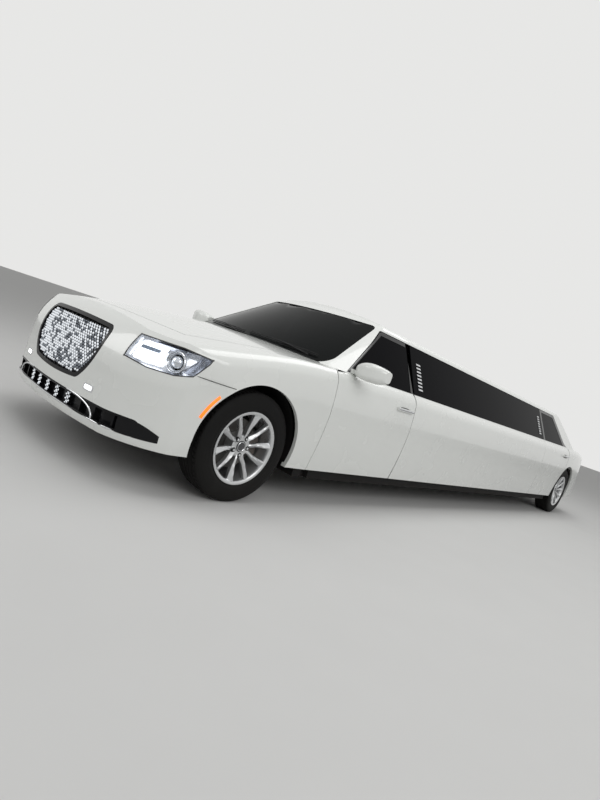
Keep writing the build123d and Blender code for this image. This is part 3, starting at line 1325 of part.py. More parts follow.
def caliper(axle_x, wheel_y, way):
    """Caliper astride the disc, ahead of (way 1) or behind (way -1) the axle."""
    slot_in, slot_out = wheel_y + DISC_IN_Y - ARM_GAP, wheel_y + DISC_OUT_Y + ARM_GAP
    x0, x1 = sorted((axle_x + way * 100, axle_x + way * 182))
    with BuildPart() as body:
        add(cell(x0, x1, slot_in - 32, slot_out + 14, HUB_Z - 60, HUB_Z + 60))
        edges = body.edges().filter_by(Axis.Y)
        fillet(edges, 14)
        inner = rod(DISC_R + ARM_GAP, (axle_x, slot_in, HUB_Z), (axle_x, slot_out, HUB_Z))
        add(inner, mode=Mode.SUBTRACT)
    return body.part


with BuildPart() as knuckle:
    x = FRONT_AXLE_X
    add(rod(60, (x, KNUCKLE_IN_Y, HUB_Z), (x, KNUCKLE_OUT_Y, HUB_Z)))
    add(rod(SPINDLE_R, (x, KNUCKLE_OUT_Y - 2, HUB_Z), (x, wheel_y + HUB_OUT_Y - 12, HUB_Z)))
    post_low_z, post_high_z = BALL_LOW_Z - LUG_H / 2, BALL_HIGH_Z + LUG_H / 2
    add(cell(x - 22, x + 22, KNUCKLE_IN_Y, KNUCKLE_IN_Y + 20, post_low_z, post_high_z))
    for z in (BALL_LOW_Z, BALL_HIGH_Z):
        add(cell(x - 22, x + 22, KNUCKLE_IN_Y, STEER_Y, z - LUG_H / 2, z + LUG_H / 2))
        add(upright(x, STEER_Y, 22, z - LUG_H / 2, z + LUG_H / 2))
        add(upright(x, STEER_Y, BALL_R + PIN_CLEARANCE, z - LUG_H, z + LUG_H), mode=Mode.SUBTRACT)
    add(caliper(x, wheel_y, -1))
    add(cell(x - 150, x - 30, KNUCKLE_OUT_Y - 26, KNUCKLE_OUT_Y - 6, HUB_Z - 30, HUB_Z + 30))
write_pair(knuckle.part, "knuckle")

# Front suspension: cross member, arms that end in the ball pins, springs and dampers
with BuildPart() as front_half:
    x = FRONT_AXLE_X
    for z, inner_y in ((BALL_LOW_Z, 430), (BALL_HIGH_Z, 470)):
        way = -1 if z == BALL_LOW_Z else 1
        eye_z = z + way * (LUG_H / 2 + 12)
        add(upright(x, STEER_Y, 18, eye_z - 8, eye_z + 8))
        pin = (eye_z, z - way * LUG_H / 2)
        add(upright(x, STEER_Y, BALL_R, min(pin), max(pin)))
        for spread in (-150, 150):
            outline = (
                (x - 12, STEER_Y - 4),
                (x + 12, STEER_Y - 4),
                (x + spread + 16, inner_y),
                (x + spread - 16, inner_y),
            )
            add(plan_block(outline, eye_z - 8, eye_z + 8))
    low_eye = BALL_LOW_Z - LUG_H / 2 - 12
    add(cell(x - 175, x + 175, 400, 436, low_eye - 12, 262))
    add(cell(x - 60, x + 60, 0, 436, 205, 262))
    add(cell(x - 175, x + 175, 470 + SEAT_GAP, 490, BALL_HIGH_Z + 8, BALL_HIGH_Z + 40))
    add(rod(22, (x, 590, low_eye + 6), (x, 560, 500)))
    add(rod(52, (x, 578, 300), (x, 552, 560)))
    add(rod(14, (x, 560, 500), (x, 540, 700)))
    add(cell(x - 70, x + 70, RAIL_OUT_Y + SEAT_GAP, 600, 690, 710))
    add(cell(x - 70, x + 70, RAIL_OUT_Y + SEAT_GAP, RAIL_OUT_Y + 14, 440, 710))
with BuildPart() as front_suspension:
    add(front_half.part)
    add(mirror(front_half.part, about=Plane.XZ))
    # steering rack
    add(rod(26, (FRONT_AXLE_X + 110, -340, 290), (FRONT_AXLE_X + 110, 340, 290)))
    for y in (-250, 250):
        add(cell(FRONT_AXLE_X + 50, FRONT_AXLE_X + 125, y - 20, y + 20, 240, 290))
write_part(front_suspension.part, "front_suspension")

# Rear suspension and final drive
with BuildPart() as rear_half:
    x = REAR_AXLE_X
    wheel_y = TRACK_REAR / 2
    hub_y = wheel_y + DISC_IN_Y - ARM_GAP
    add(rod(60, (x, 690, HUB_Z), (x, hub_y, HUB_Z)))
    add(rod(SPINDLE_R, (x, hub_y - 2, HUB_Z), (x, wheel_y + HUB_OUT_Y - 12, HUB_Z)))
    add(caliper(x, wheel_y, 1))
    add(cell(x + 30, x + 150, hub_y - 26, hub_y - 6, HUB_Z - 30, HUB_Z + 30))
    add(cell(x - 20, x + 20, 690, 712, 212, 488))
    for z, y_in in ((222, 350), (446, RAIL_OUT_Y + SEAT_GAP)):
        for spread in (-140, 140):
            outline = ((x - 14, 700), (x + 14, 700), (x + spread + 16, y_in), (x + spread - 16, y_in))
            add(plan_block(outline, z - 9, z + 9))
    add(cell(x - 160, x + 160, 0, 352, 205, 262))
    add(rod(20, (x, 110 + SEAT_GAP, HUB_Z), (x, 692, HUB_Z)))
    add(rod(44, (x, 560, 230), (x, 545, 640)))
    add(cell(x - 160, x + 160, RAIL_OUT_Y + SEAT_GAP, 490, 420, 470))
    add(cell(x - 60, x + 60, 489, 600, 636, 650))
    add(cell(x - 60, x + 60, 476, 490, 440, 650))
with BuildPart() as rear_suspension:
    add(rear_half.part)
    add(mirror(rear_half.part, about=Plane.XZ))
write_part(rear_suspension.part, "rear_suspension")


# Engine, as one block on the cross member
with BuildPart() as engine:
    add(cell(FIREWALL_X + 60, FRONT_AXLE_X + 330, -230, 230, 330, 760))
    fillet(engine.edges().filter_by(Axis.X), 40)
    add(cell(FRONT_AXLE_X - 60, FRONT_AXLE_X + 40, -200, 200, 262, 340))
write_part(engine.part, "engine")

# Propeller shaft, its bearings, and the final drive
SHAFT_Z = 300.0
SHAFT_R = 32.0
with BuildPart() as driveline:
    add(rod(SHAFT_R, (REAR_AXLE_X + 100, 0, SHAFT_Z), (FIREWALL_X + 40, 0, SHAFT_Z)))
    for share in (0.25, 0.5, 0.75):
        x = REAR_AXLE_X + share * (FIREWALL_X - REAR_AXLE_X)
        add(cell(x - 25, x + 25, -45, 45, SHAFT_Z - 45, 382 - SEAT_GAP))
    add(rod(86, (REAR_AXLE_X, -110, HUB_Z), (REAR_AXLE_X, 110, HUB_Z)))
    add(rod(36, (REAR_AXLE_X + 60, 0, SHAFT_Z), (REAR_AXLE_X + 190, 0, SHAFT_Z)))
    add(cell(REAR_AXLE_X - 70, REAR_AXLE_X + 70, -90, 90, 262 + SEAT_GAP, 330))
    add(cell(FIREWALL_X + 20, FIREWALL_X + 60 - SEAT_GAP, -60, 60, SHAFT_Z - 60, SHAFT_Z + 110))
write_part(driveline.part, "driveline")

# Exhaust: a pipe and a silencer on each side
PIPE_R = 28.0
PIPE_Y = 265.0
PIPE_Z = 172.0
PIPE_WALL = 4.0
SILENCER_FRONT_X, SILENCER_BACK_X = REAR_AXLE_X - 330.0, REAR_AXLE_X - 830.0
SILENCER_LOW_Z, SILENCER_TOP_Z = 140.0, 290.0
TAILPIPE_Z = 232.0
PIPE_BEND_X = FRONT_AXLE_X - 240.0
MANIFOLD_Y, MANIFOLD_Z = 236.0, 332.0
with BuildPart() as exhaust:
    for side in (1, -1):
        y = side * PIPE_Y
        bend = (PIPE_BEND_X - 22, y, PIPE_Z)
        add(rod(PIPE_R, (SILENCER_FRONT_X - 10, y, PIPE_Z), (PIPE_BEND_X, y, PIPE_Z)))
        add(rod(PIPE_R - PIPE_WALL, bend, (PIPE_BEND_X + 40, side * MANIFOLD_Y, MANIFOLD_Z)))
        add(cell(SILENCER_BACK_X, SILENCER_FRONT_X, y - 110, y + 110, SILENCER_LOW_Z, SILENCER_TOP_Z))
        add(rod(PIPE_R, (SILENCER_BACK_X + 10, y, TAILPIPE_Z), (TAIL_X + 60, y, TAILPIPE_Z)))
        for x in (REAR_AXLE_X + 700, 0, FRONT_AXLE_X - 900):
            add(cell(x - 12, x + 12, y - 10, y + 10, PIPE_Z, FLOOR_Z - SEAT_GAP))
        strap_top_z = BOOT_FLOOR_Z - 12 - SEAT_GAP
        add(cell(REAR_AXLE_X - 600, REAR_AXLE_X - 560, y - 20, y + 20, SILENCER_TOP_Z - 10, strap_top_z))
write_part(exhaust.part, "exhaust")

# Dashboard with its column and wheel
DASH_X = FIREWALL_X - 40.0
with BuildPart() as dashboard:
    dash_profile = (
        (FIREWALL_X - SEAT_GAP, 640),
        (FIREWALL_X - SEAT_GAP, 905),
        (DASH_X - 60, 965),
        (DASH_X - 330, 975),
        (DASH_X - 440, 930),
        (DASH_X - 400, 760),
        (DASH_X - 250, 640),
    )
    add(side_block(dash_profile, -664, 664))
    add(cell(DASH_X - 420, DASH_X - 100, -130, 130, TUNNEL_TOP_Z + SEAT_GAP, 660))
    wheel_x, wheel_centre_y, wheel_z = DASH_X - 560, 360.0, 900.0
    add(rod(28, (DASH_X - 300, wheel_centre_y, 800), (wheel_x, wheel_centre_y, wheel_z)))
    column = Vector(wheel_x - (DASH_X - 300), 0, wheel_z - 800).normalized()
    rim_plane = Plane(origin=(wheel_x, wheel_centre_y, wheel_z), x_dir=(0, 1, 0), z_dir=column)
    with BuildSketch(Plane(origin=rim_plane.origin, x_dir=rim_plane.x_dir, z_dir=rim_plane.y_dir)):
        with Locations((175, 0)):
            Circle(15)
    revolve(axis=Axis(rim_plane.origin, rim_plane.z_dir))
    with BuildSketch(rim_plane.offset(-10)):
        Rectangle(350, 34)
        Circle(60)
    extrude(amount=20)
write_part(dashboard.part, "dashboard")


def seat(front_x, y, width):
    """A seat facing forward: cushion, leaning back and head rest."""
    profile = (
        (front_x, 260),
        (front_x, 470),
        (front_x - 40, 500),
        (front_x - 460, 470),
        (front_x - 700, 1060),
        (front_x - 790, 1050),
        (front_x - 640, 450),
        (front_x - 560, 260),
    )
    with BuildPart() as chair:
        add(side_block(profile, y - width / 2, y + width / 2))
        fillet(chair.edges().filter_by(Axis.Y).group_by(Axis.Z)[-1], 20)
        half_base = width / 2 - 60
        add(cell(front_x - 500, front_x - 60, y - half_base, y + half_base, FLOOR_Z + SHEET + SEAT_GAP, 262))
        if width < 700:
            rest = (
                (front_x - 700, 1040),
                (front_x - 760, 1210),
                (front_x - 830, 1190),
                (front_x - 775, 1040),
            )
            add(side_block(rest, y - 130, y + 130))
    return chair.part


PARTITION_X = B_SEAM_X - 60.0
with BuildPart() as front_seats:
    for y in (-420, 420):
        add(seat(FRONT_PIN_X - 210, y, 520))
write_part(front_seats.part, "front_seats")
with BuildPart() as rear_seat:
    add(seat(REAR_SEAM_X - 60, 0, 1280))
    add(cell(TAIL_X, 0, -149, 149, 200, TUNNEL_TOP_Z + SEAT_GAP), mode=Mode.SUBTRACT)
write_part(rear_seat.part, "rear_seat")
with BuildPart() as side_bench:
    bench = ((-690, 260), (-690, 900), (-590, 880), (-560, 500), (-180, 480), (-180, 260))
    add(end_block(bench, REAR_SEAM_X + 500, B_SEAM_X - 500))
    add(cell(REAR_SEAM_X + 560, B_SEAM_X - 560, -640, -240, FLOOR_Z + SHEET + SEAT_GAP, 262))
write_part(side_bench.part, "side_bench")
post_depth = (FRAME_WALL + POST_SET + 36) * hypot(1, GLASS_LEAN) + SEAT_GAP
half_wall = (
    (150, FLOOR_Z + SHEET + SEAT_GAP),
    (690, FLOOR_Z + SHEET + SEAT_GAP),
    (690, 404),
    (BELT_Y - post_depth, 404),
    (BELT_Y - post_depth, BELT_Z),
    (BELT_Y - post_depth - GLASS_LEAN * (ROOF_Z - BELT_Z), ROOF_Z),
)
tunnel_top = TUNNEL_TOP_Z + SEAT_GAP
other_half = [(-y, z) for y, z in half_wall[::-1]]
wall_outline = list(half_wall) + other_half + [(-150, tunnel_top), (150, tunnel_top)]
with BuildPart() as partition:
    add(end_block(wall_outline, PARTITION_X - 12, PARTITION_X + 12))
    low = cell(PARTITION_X - 20, PARTITION_X + 20, -800, 800, 200, BELT_Z)
    add(low + cabin_body(ROOF_WALL + SEAT_GAP), mode=Mode.INTERSECT)
    add(cell(PARTITION_X - 20, PARTITION_X + 20, -500, 500, 1010, 1360), mode=Mode.SUBTRACT)
write_part(partition.part, "partition")

# Door mirrors
MIRROR_X = FRONT_AXLE_X - 830.0
MIRROR_IN_Y, MIRROR_OUT_Y = 900.0, 1148.0
MIRROR_LOW_Z, MIRROR_HIGH_Z = 968.0, 1096.0
with BuildPart() as mirror_shell:
    mid_z = (MIRROR_LOW_Z + MIRROR_HIGH_Z) / 2
    tall = MIRROR_HIGH_Z - MIRROR_LOW_Z
    for y, deep, high, lift in (
        (MIRROR_IN_Y, 90, tall * 0.62, -8),
        (MIRROR_IN_Y + 70, 128, tall * 0.92, 0),
        (MIRROR_OUT_Y - 60, 120, tall * 0.96, 2),
        (MIRROR_OUT_Y, 74, tall * 0.6, 6),
    ):
        with BuildSketch(Plane.XZ.offset(-y)):
            with Locations((MIRROR_X + deep / 2 - 50, mid_z + lift)):
                RectangleRounded(deep, high, high * 0.3)
    loft()
    foot_y = BELT_Y - GLASS_LEAN * 15 - 4
    add(cell(MIRROR_X - 20, MIRROR_X + 40, foot_y + 10, MIRROR_IN_Y + 6, 992, 1016))
    add(cell(MIRROR_X - 40, MIRROR_X + 60, foot_y + 4, foot_y + 18, 990, 1022))
window_space = glass_pane(FRONT_WINDOW, B_SEAM_X, FRONT_SEAM_X, 0)
write_pair(mirror_shell.part - front_door.part - window_space, "mirror")
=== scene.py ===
# %% [markdown]
# # A stretch limousine
# A full-size saloon with a long middle let in behind its front doors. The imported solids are
# loaded first and stay where they are. Everything after that is finish and fine form.

import bmesh
import bpy
import numpy as np
from mathutils import Matrix


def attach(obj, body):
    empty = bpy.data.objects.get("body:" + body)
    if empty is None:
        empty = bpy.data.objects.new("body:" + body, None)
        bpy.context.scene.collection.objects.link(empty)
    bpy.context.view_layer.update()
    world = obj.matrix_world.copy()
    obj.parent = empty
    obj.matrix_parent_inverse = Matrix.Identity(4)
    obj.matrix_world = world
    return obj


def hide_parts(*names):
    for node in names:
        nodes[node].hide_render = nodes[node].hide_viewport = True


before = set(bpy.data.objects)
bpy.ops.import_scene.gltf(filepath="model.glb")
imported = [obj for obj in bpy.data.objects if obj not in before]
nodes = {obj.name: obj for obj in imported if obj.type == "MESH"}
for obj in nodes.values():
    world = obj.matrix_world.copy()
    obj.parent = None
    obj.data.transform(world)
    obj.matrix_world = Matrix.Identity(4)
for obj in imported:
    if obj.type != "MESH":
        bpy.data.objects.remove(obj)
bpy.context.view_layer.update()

# %% [markdown]
# The picture was taken low and close to the left headlamp, with the camera rolled about 19
# degrees. A camera is a place, three directions and a lens, so the directions are worked out
# from heading, pitch and roll and written straight into its matrix.

# %% Camera
camera_place = np.array((5.701, 3.184, 0.965))
heading, pitch, roll = np.radians((-138.56, -4.10, 19.01))
forward = np.array((np.cos(heading) * np.cos(pitch), np.sin(heading) * np.cos(pitch), np.sin(pitch)))
level_right = np.cross(forward, (0, 0, 1))
level_right /= np.linalg.norm(level_right)
level_up = np.cross(level_right, forward)
right = np.cos(roll) * level_right + np.sin(roll) * level_up
up = -np.sin(roll) * level_right + np.cos(roll) * level_up
SENSOR, FOCAL_PIXELS, PHOTO_LONG_SIDE = 36.0, 537.4, 800.0
camera_data = bpy.data.cameras.new("camera")
camera_data.sensor_width = SENSOR
camera_data.lens = SENSOR * FOCAL_PIXELS / PHOTO_LONG_SIDE
camera_data.clip_end = 200.0
camera = bpy.data.objects.new("camera", camera_data)
bpy.context.scene.collection.objects.link(camera)
turn = np.eye(4)
turn[:3, 0], turn[:3, 1], turn[:3, 2], turn[:3, 3] = right, up, -forward, camera_place
camera.matrix_world = Matrix(turn.tolist())
bpy.context.scene.camera = camera
bpy.context.scene.view_settings.view_transform = "Standard"

# %% [markdown]
# Every new piece is a set of points and faces. This helper puts arrays into a mesh, closes it
# by merging doubled points, turns its faces outwards, and lets it ride on a body of the frame.

# %% Helper that makes a piece
SHARP = np.radians(32)


def piece(name, parts, finish, body="body", smooth=True, stands_for=()):
    """Joins (points, faces) pairs into one object at the origin that rides on a body."""
    points, faces, start = [], [], 0
    for part_points, part_faces in parts:
        flat = np.asarray(part_points, float).reshape(-1, 3)
        points.append(flat)
        faces += (np.asarray(part_faces) + start).tolist()
        start += len(flat)
    mesh = bpy.data.meshes.new(name)
    mesh.from_pydata(np.vstack(points).tolist(), [], faces)
    mesh.materials.append(finish)
    tidy = bmesh.new()
    tidy.from_mesh(mesh)
    bmesh.ops.remove_doubles(tidy, verts=tidy.verts, dist=1e-6)
    bmesh.ops.dissolve_degenerate(tidy, edges=tidy.edges, dist=1e-7)
    bmesh.ops.recalc_face_normals(tidy, faces=tidy.faces)
    tidy.to_mesh(mesh)
    tidy.free()
    if smooth:
        mesh.polygons.foreach_set("use_smooth", np.ones(len(mesh.polygons), bool))
        mesh.set_sharp_from_angle(angle=SHARP)
    made = bpy.data.objects.new(name, mesh)
    bpy.context.scene.collection.objects.link(made)
    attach(made, body)
    if stands_for:
        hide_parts(*stands_for)
    return made


def grid(points, wrap_rows=False, wrap_columns=False):
    """Points on a grid of rows and columns, joined by four-sided faces."""
    points = np.asarray(points, float)
    rows, columns = points.shape[:2]
    index = np.arange(rows * columns).reshape(rows, columns)
    if wrap_rows:
        index = np.vstack([index, index[:1]])
    if wrap_columns:
        index = np.hstack([index, index[:, :1]])
    faces = np.stack([index[:-1, :-1], index[1:, :-1], index[1:, 1:], index[:-1, 1:]], axis=-1)
    return points.reshape(-1, 3), faces.reshape(-1, 4)


def shut(points):
    """Closes both ends of a tube of rings by drawing the end rings in to their middles."""
    first = np.broadcast_to(points[:1].mean(axis=1, keepdims=True), points[:1].shape)
    last = np.broadcast_to(points[-1:].mean(axis=1, keepdims=True), points[-1:].shape)
    return np.concatenate([first, points, last])


def both_sides(name, parts, finish, left_body="body", right_body="body"):
    """A piece on the left of the car, and its mirror image on the right."""
    mirrored = [(np.asarray(p).reshape(-1, 3) * (1, -1, 1), f) for p, f in parts]
    piece(f"{name}_left", parts, finish, left_body)
    piece(f"{name}_right", mirrored, finish, right_body)


def squarish(wave, power):
    """A sine or cosine drawn towards a square wave: two of them trace a superellipse."""
    return np.sign(wave) * np.abs(wave) ** power


def oblong(y0, y1, z0, z1, angle, spread, round_power):
    """Places on nested superellipses that fill the box from y0 to y1 and from z0 to z1."""
    power = 2 / round_power
    y = (y0 + y1) / 2 + (y1 - y0) / 2 * spread * squarish(np.cos(angle), power)
    z = (z0 + z1) / 2 + (z1 - z0) / 2 * spread * squarish(np.sin(angle), power)
    return y, z


def full_turn(count):
    """Evenly spaced angles round a circle."""
    return np.linspace(0, 2 * np.pi, count, endpoint=False)


def tube(path, radius, sides=12):
    """A round section carried along a path: at each point the ring lies across the tangent."""
    path = np.asarray(path, float)
    tangent = np.gradient(path, axis=0)
    tangent /= np.linalg.norm(tangent, axis=1, keepdims=True)
    hint = np.where(np.abs(tangent[:, 2:]) > 0.9, (1.0, 0.0, 0.0), (0.0, 0.0, 1.0))
    side = np.cross(tangent, hint)
    side /= np.linalg.norm(side, axis=1, keepdims=True)
    top = np.cross(side, tangent)
    angle = full_turn(sides)
    radius = np.broadcast_to(np.asarray(radius, float), len(path))[:, None, None]
    ring = path[:, None] + radius * (
        np.cos(angle)[None, :, None] * side[:, None] + np.sin(angle)[None, :, None] * top[:, None]
    )
    return grid(shut(ring), False, True)


def slab(outer, inner):
    """A closed shell between two sheets of the same grid."""
    loop = np.concatenate([outer, inner[:, ::-1]], axis=1)
    return grid(shut(loop), False, True)


# %% [markdown]
# Grain, road film and the black of the window frames are on more than one finish, so they are
# node groups with named inputs and outputs, built once. The shader stays in each material.

# %% Shared effects
def new_group(name, inputs, outputs):
    """A node group, with its input and output nodes."""
    made = bpy.data.node_groups.new(name, "ShaderNodeTree")
    for label, kind, value in inputs:
        socket = made.interface.new_socket(name=label, in_out="INPUT", socket_type=kind)
        socket.default_value = value
    for label, kind in outputs:
        made.interface.new_socket(name=label, in_out="OUTPUT", socket_type=kind)
    return made, made.nodes.new("NodeGroupInput"), made.nodes.new("NodeGroupOutput")


def feed(tree, socket, value):
    """Puts a number on a socket, or links another socket to it."""
    if isinstance(value, (int, float)):
        socket.default_value = value
    else:
        tree.links.new(value, socket)


def math(tree, operation, a, b, clamp=False):
    """One sum on two numbers or sockets, and its result."""
    node = tree.nodes.new("ShaderNodeMath")
    node.operation = operation
    node.use_clamp = clamp
    feed(tree, node.inputs[0], a)
    feed(tree, node.inputs[1], b)
    return node.outputs[0]


def blend_colour(tree, share, a, b):
    """Colour a, with a share of colour b."""
    node = tree.nodes.new("ShaderNodeMix")
    node.data_type = "RGBA"
    for number, value in ((0, share), (6, a), (7, b)):
        tree.links.new(value, node.inputs[number])
    return node.outputs[2]


def place_on_car(tree):
    """The place that is being shaded, in the car's own frame."""
    return tree.nodes.new("ShaderNodeTexCoord").outputs["Object"]


def split(tree, place):
    """x, y and z of a place."""
    node = tree.nodes.new("ShaderNodeSeparateXYZ")
    tree.links.new(place, node.inputs[0])
    return node.outputs


def noise(tree, place, scale, detail):
    """Smooth noise over places."""
    node = tree.nodes.new("ShaderNodeTexNoise")
    node.inputs["Detail"].default_value = detail
    tree.links.new(place, node.inputs["Vector"])
    feed(tree, node.inputs["Scale"], scale)
    return node.outputs["Fac"]


def hand_out(tree, node, results):
    """Links results to a node's named sockets."""
    for label, result in results.items():
        tree.links.new(result, node.inputs[label])


COLOUR, NUMBER = "NodeSocketColor", "NodeSocketFloat"
FINE_DETAIL, BROAD_DETAIL = 3.0, 4.0
grain, g_in, g_out = new_group(
    "surface grain",
    (("Scale", NUMBER, 200.0), ("Low Roughness", NUMBER, 0.3), ("High Roughness", NUMBER, 0.4),
     ("Colour", COLOUR, (1, 1, 1, 1)), ("Shade", COLOUR, (0.8, 0.8, 0.8, 1)), ("Patch Scale", NUMBER, 3.0)),
    (("Colour", COLOUR), ("Roughness", NUMBER), ("Height", NUMBER)),
)
given = g_in.outputs
shaded = place_on_car(grain)
fine = noise(grain, shaded, given["Scale"], FINE_DETAIL)
broad = noise(grain, shaded, given["Patch Scale"], BROAD_DETAIL)
patch = math(grain, "MULTIPLY", broad, 1.0, clamp=True)
span = math(grain, "SUBTRACT", given["High Roughness"], given["Low Roughness"])
hand_out(grain, g_out, {
    "Colour": blend_colour(grain, patch, given["Colour"], given["Shade"]),
    "Roughness": math(grain, "ADD", math(grain, "MULTIPLY", span, broad), given["Low Roughness"]),
    "Height": fine,
})

# film fades in below its top, in streaks, and dulls what it covers
FILM_FADE, FILM_DULL, STREAK_SCALE, STREAK_DETAIL = 3.0, 0.5, 9.0, 6.0
film_group, f_in, f_out = new_group(
    "road film",
    (("Colour", COLOUR, (1, 1, 1, 1)), ("Roughness", NUMBER, 0.3), ("Film", COLOUR, (0.2, 0.18, 0.15, 1)),
     ("Top", NUMBER, 0.5), ("Amount", NUMBER, 0.5)),
    (("Colour", COLOUR), ("Roughness", NUMBER)),
)
given = f_in.outputs
shaded = place_on_car(film_group)
streak = noise(film_group, shaded, STREAK_SCALE, STREAK_DETAIL)
depth = math(film_group, "SUBTRACT", given["Top"], split(film_group, shaded)["Z"])
reach = math(film_group, "MULTIPLY", depth, FILM_FADE, clamp=True)
ragged = math(film_group, "MULTIPLY", reach, streak)
mask = math(film_group, "MULTIPLY", ragged, given["Amount"], clamp=True)
duller = math(film_group, "MULTIPLY", mask, FILM_DULL)
hand_out(film_group, f_out, {
    "Colour": blend_colour(film_group, mask, given["Colour"], given["Film"]),
    "Roughness": math(film_group, "ADD", given["Roughness"], duller, clamp=True),
})

# the line rises from its front end to the rear, and a finish changes within a millimetre of it
LINE_FRONT_X, LINE_SHARPNESS = 2.830, 1500.0
BODY_COAT, SMOOTHER_BY = 0.8, 0.12
line_group, l_in, l_out = new_group(
    "window line",
    (("Colour", COLOUR, (1, 1, 1, 1)), ("Roughness", NUMBER, 0.3),
     ("Frame", COLOUR, (0.006, 0.006, 0.007, 1)), ("Front Height", NUMBER, 0.990),
     ("Rise", NUMBER, 0.00396), ("Coat", NUMBER, BODY_COAT)),
    (("Colour", COLOUR), ("Roughness", NUMBER), ("Coat", NUMBER)),
)
given = l_in.outputs
shaded = split(line_group, place_on_car(line_group))
behind_front = math(line_group, "SUBTRACT", LINE_FRONT_X, shaded["X"])
risen = math(line_group, "MULTIPLY", behind_front, given["Rise"])
line_height = math(line_group, "ADD", risen, given["Front Height"])
over_line = math(line_group, "SUBTRACT", shaded["Z"], line_height)
above = math(line_group, "MULTIPLY", over_line, LINE_SHARPNESS, clamp=True)
smoother, barer = (math(line_group, "MULTIPLY", above, share) for share in (SMOOTHER_BY, BODY_COAT))
hand_out(line_group, l_out, {
    "Colour": blend_colour(line_group, above, given["Colour"], given["Frame"]),
    "Roughness": math(line_group, "SUBTRACT", given["Roughness"], smoother, clamp=True),
    "Coat": math(line_group, "SUBTRACT", given["Coat"], barer, clamp=True),
})

# %% [markdown]
# A finish is one Principled shader. Its colour and roughness come through the grain group and,
# on outside surfaces, the road film. Constants such as coat and transmission are on its sockets.

# %% Helper that makes a finish
ROAD_DUST, COAT_ROUGHNESS = (0.16, 0.145, 0.12, 1), 0.03


def set_inputs(node, values):
    """Sets a node's named inputs."""
    for label, value in values.items():
        node.inputs[label].default_value = value


def finish(name, colour, shade=None, rough=(0.3, 0.4), metal=0.0, coat=0.0, specular=0.5, bump=0.0,
           scale=200.0, patches=3.0, film=0.0, film_top=0.55, glow=None, glow_strength=0.0,
           transmission=0.0, ior=1.5, alpha=1.0):
    """A material with a colour that shades in patches, and a range of roughness."""
    made = bpy.data.materials.new(name)
    made.use_nodes = True
    tree = made.node_tree
    shader = tree.nodes["Principled BSDF"]
    set_inputs(shader, {
        "Metallic": metal, "Coat Weight": coat, "Coat Roughness": COAT_ROUGHNESS, "IOR": ior,
        "Specular IOR Level": specular, "Transmission Weight": transmission, "Alpha": alpha,
    })
    if glow is not None:
        set_inputs(shader, {"Emission Color": (*glow, 1), "Emission Strength": glow_strength})
    grain_node = last = tree.nodes.new("ShaderNodeGroup")
    grain_node.node_tree = grain
    set_inputs(grain_node, {
        "Scale": scale, "Patch Scale": patches, "Low Roughness": rough[0],
        "High Roughness": rough[1], "Colour": (*colour, 1),
        "Shade": (*(shade or tuple(0.9 * c for c in colour)), 1),
    })
    if film:
        last = tree.nodes.new("ShaderNodeGroup")
        last.node_tree = film_group
        hand_out(tree, last, {label: grain_node.outputs[label] for label in ("Colour", "Roughness")})
        set_inputs(last, {"Film": ROAD_DUST, "Top": film_top, "Amount": film})
    hand_out(tree, shader, {"Base Color": last.outputs["Colour"], "Roughness": last.outputs["Roughness"]})
    if bump:
        relief = tree.nodes.new("ShaderNodeBump")
        set_inputs(relief, {"Strength": 1.0, "Distance": bump})
        tree.links.new(grain_node.outputs["Height"], relief.inputs["Height"])
        tree.links.new(relief.outputs["Normal"], shader.inputs["Normal"])
    return made


def black_above_line(material):
    """Makes a finish black, smooth and uncoated over the window line, for the doors' frames."""
    tree = material.node_tree
    shader = tree.nodes["Principled BSDF"]
    above_line = tree.nodes.new("ShaderNodeGroup")
    above_line.node_tree = line_group
    for label, target in (("Colour", "Base Color"), ("Roughness", "Roughness")):
        tree.links.new(shader.inputs[target].links[0].from_socket, above_line.inputs[label])
        tree.links.new(above_line.outputs[label], shader.inputs[target])
    tree.links.new(above_line.outputs["Coat"], shader.inputs["Coat Weight"])
    return material


# %% [markdown]
# The body is white enamel under clear lacquer, with a faint ripple. The side windows are black
# privacy glass, the trim is bright chrome, and what is under the car is dull black.

# %% Finishes of the car
PAINT = dict(
    colour=(0.74, 0.755, 0.73), shade=(0.725, 0.74, 0.715), rough=(0.24, 0.30), coat=BODY_COAT,
    bump=0.00003, scale=160, film=0.12, film_top=0.34,
)
white_paint = finish("white paint", **PAINT)
door_paint = black_above_line(finish("door paint", **PAINT))
dark_glass = finish(
    "privacy glass", (0.003, 0.003, 0.004), (0.005, 0.005, 0.006), (0.03, 0.05), specular=0.015, scale=40,
)
screen_glass = finish(
    "windscreen glass", (0.006, 0.007, 0.007), (0.009, 0.010, 0.010), (0.02, 0.04), specular=0.03,
    scale=40, alpha=0.95,
)
mirror_glass = finish(
    "mirror glass", (0.75, 0.77, 0.80), (0.70, 0.72, 0.75), (0.02, 0.04), metal=1.0, scale=40,
)
lamp_liner = finish(
    "lamp liner", (0.80, 0.81, 0.84), (0.62, 0.64, 0.68), (0.12, 0.22), metal=0.85, scale=240, patches=30,
)
lamp_blue = finish("lamp bar", (0.22, 0.28, 0.36), (0.16, 0.21, 0.28), (0.1, 0.2), coat=1.0, scale=90)
chrome = finish("chrome", (0.72, 0.73, 0.74), (0.66, 0.67, 0.69), (0.05, 0.10), metal=1.0, scale=300)
black_gloss = finish(
    "black gloss trim", (0.006, 0.006, 0.007), (0.009, 0.009, 0.010), (0.12, 0.2), specular=0.18,
    scale=300,
)
black_plastic = finish(
    "black plastic", (0.009, 0.009, 0.0095), (0.013, 0.013, 0.0135), (0.45, 0.6), bump=0.0002, scale=900,
    film=0.06, specular=0.25,
)
underbody = finish(
    "underbody coating", (0.010, 0.010, 0.011), (0.016, 0.015, 0.014), (0.6, 0.8), bump=0.0006, scale=120,
    film=0.03, film_top=0.5, specular=0.10,
)
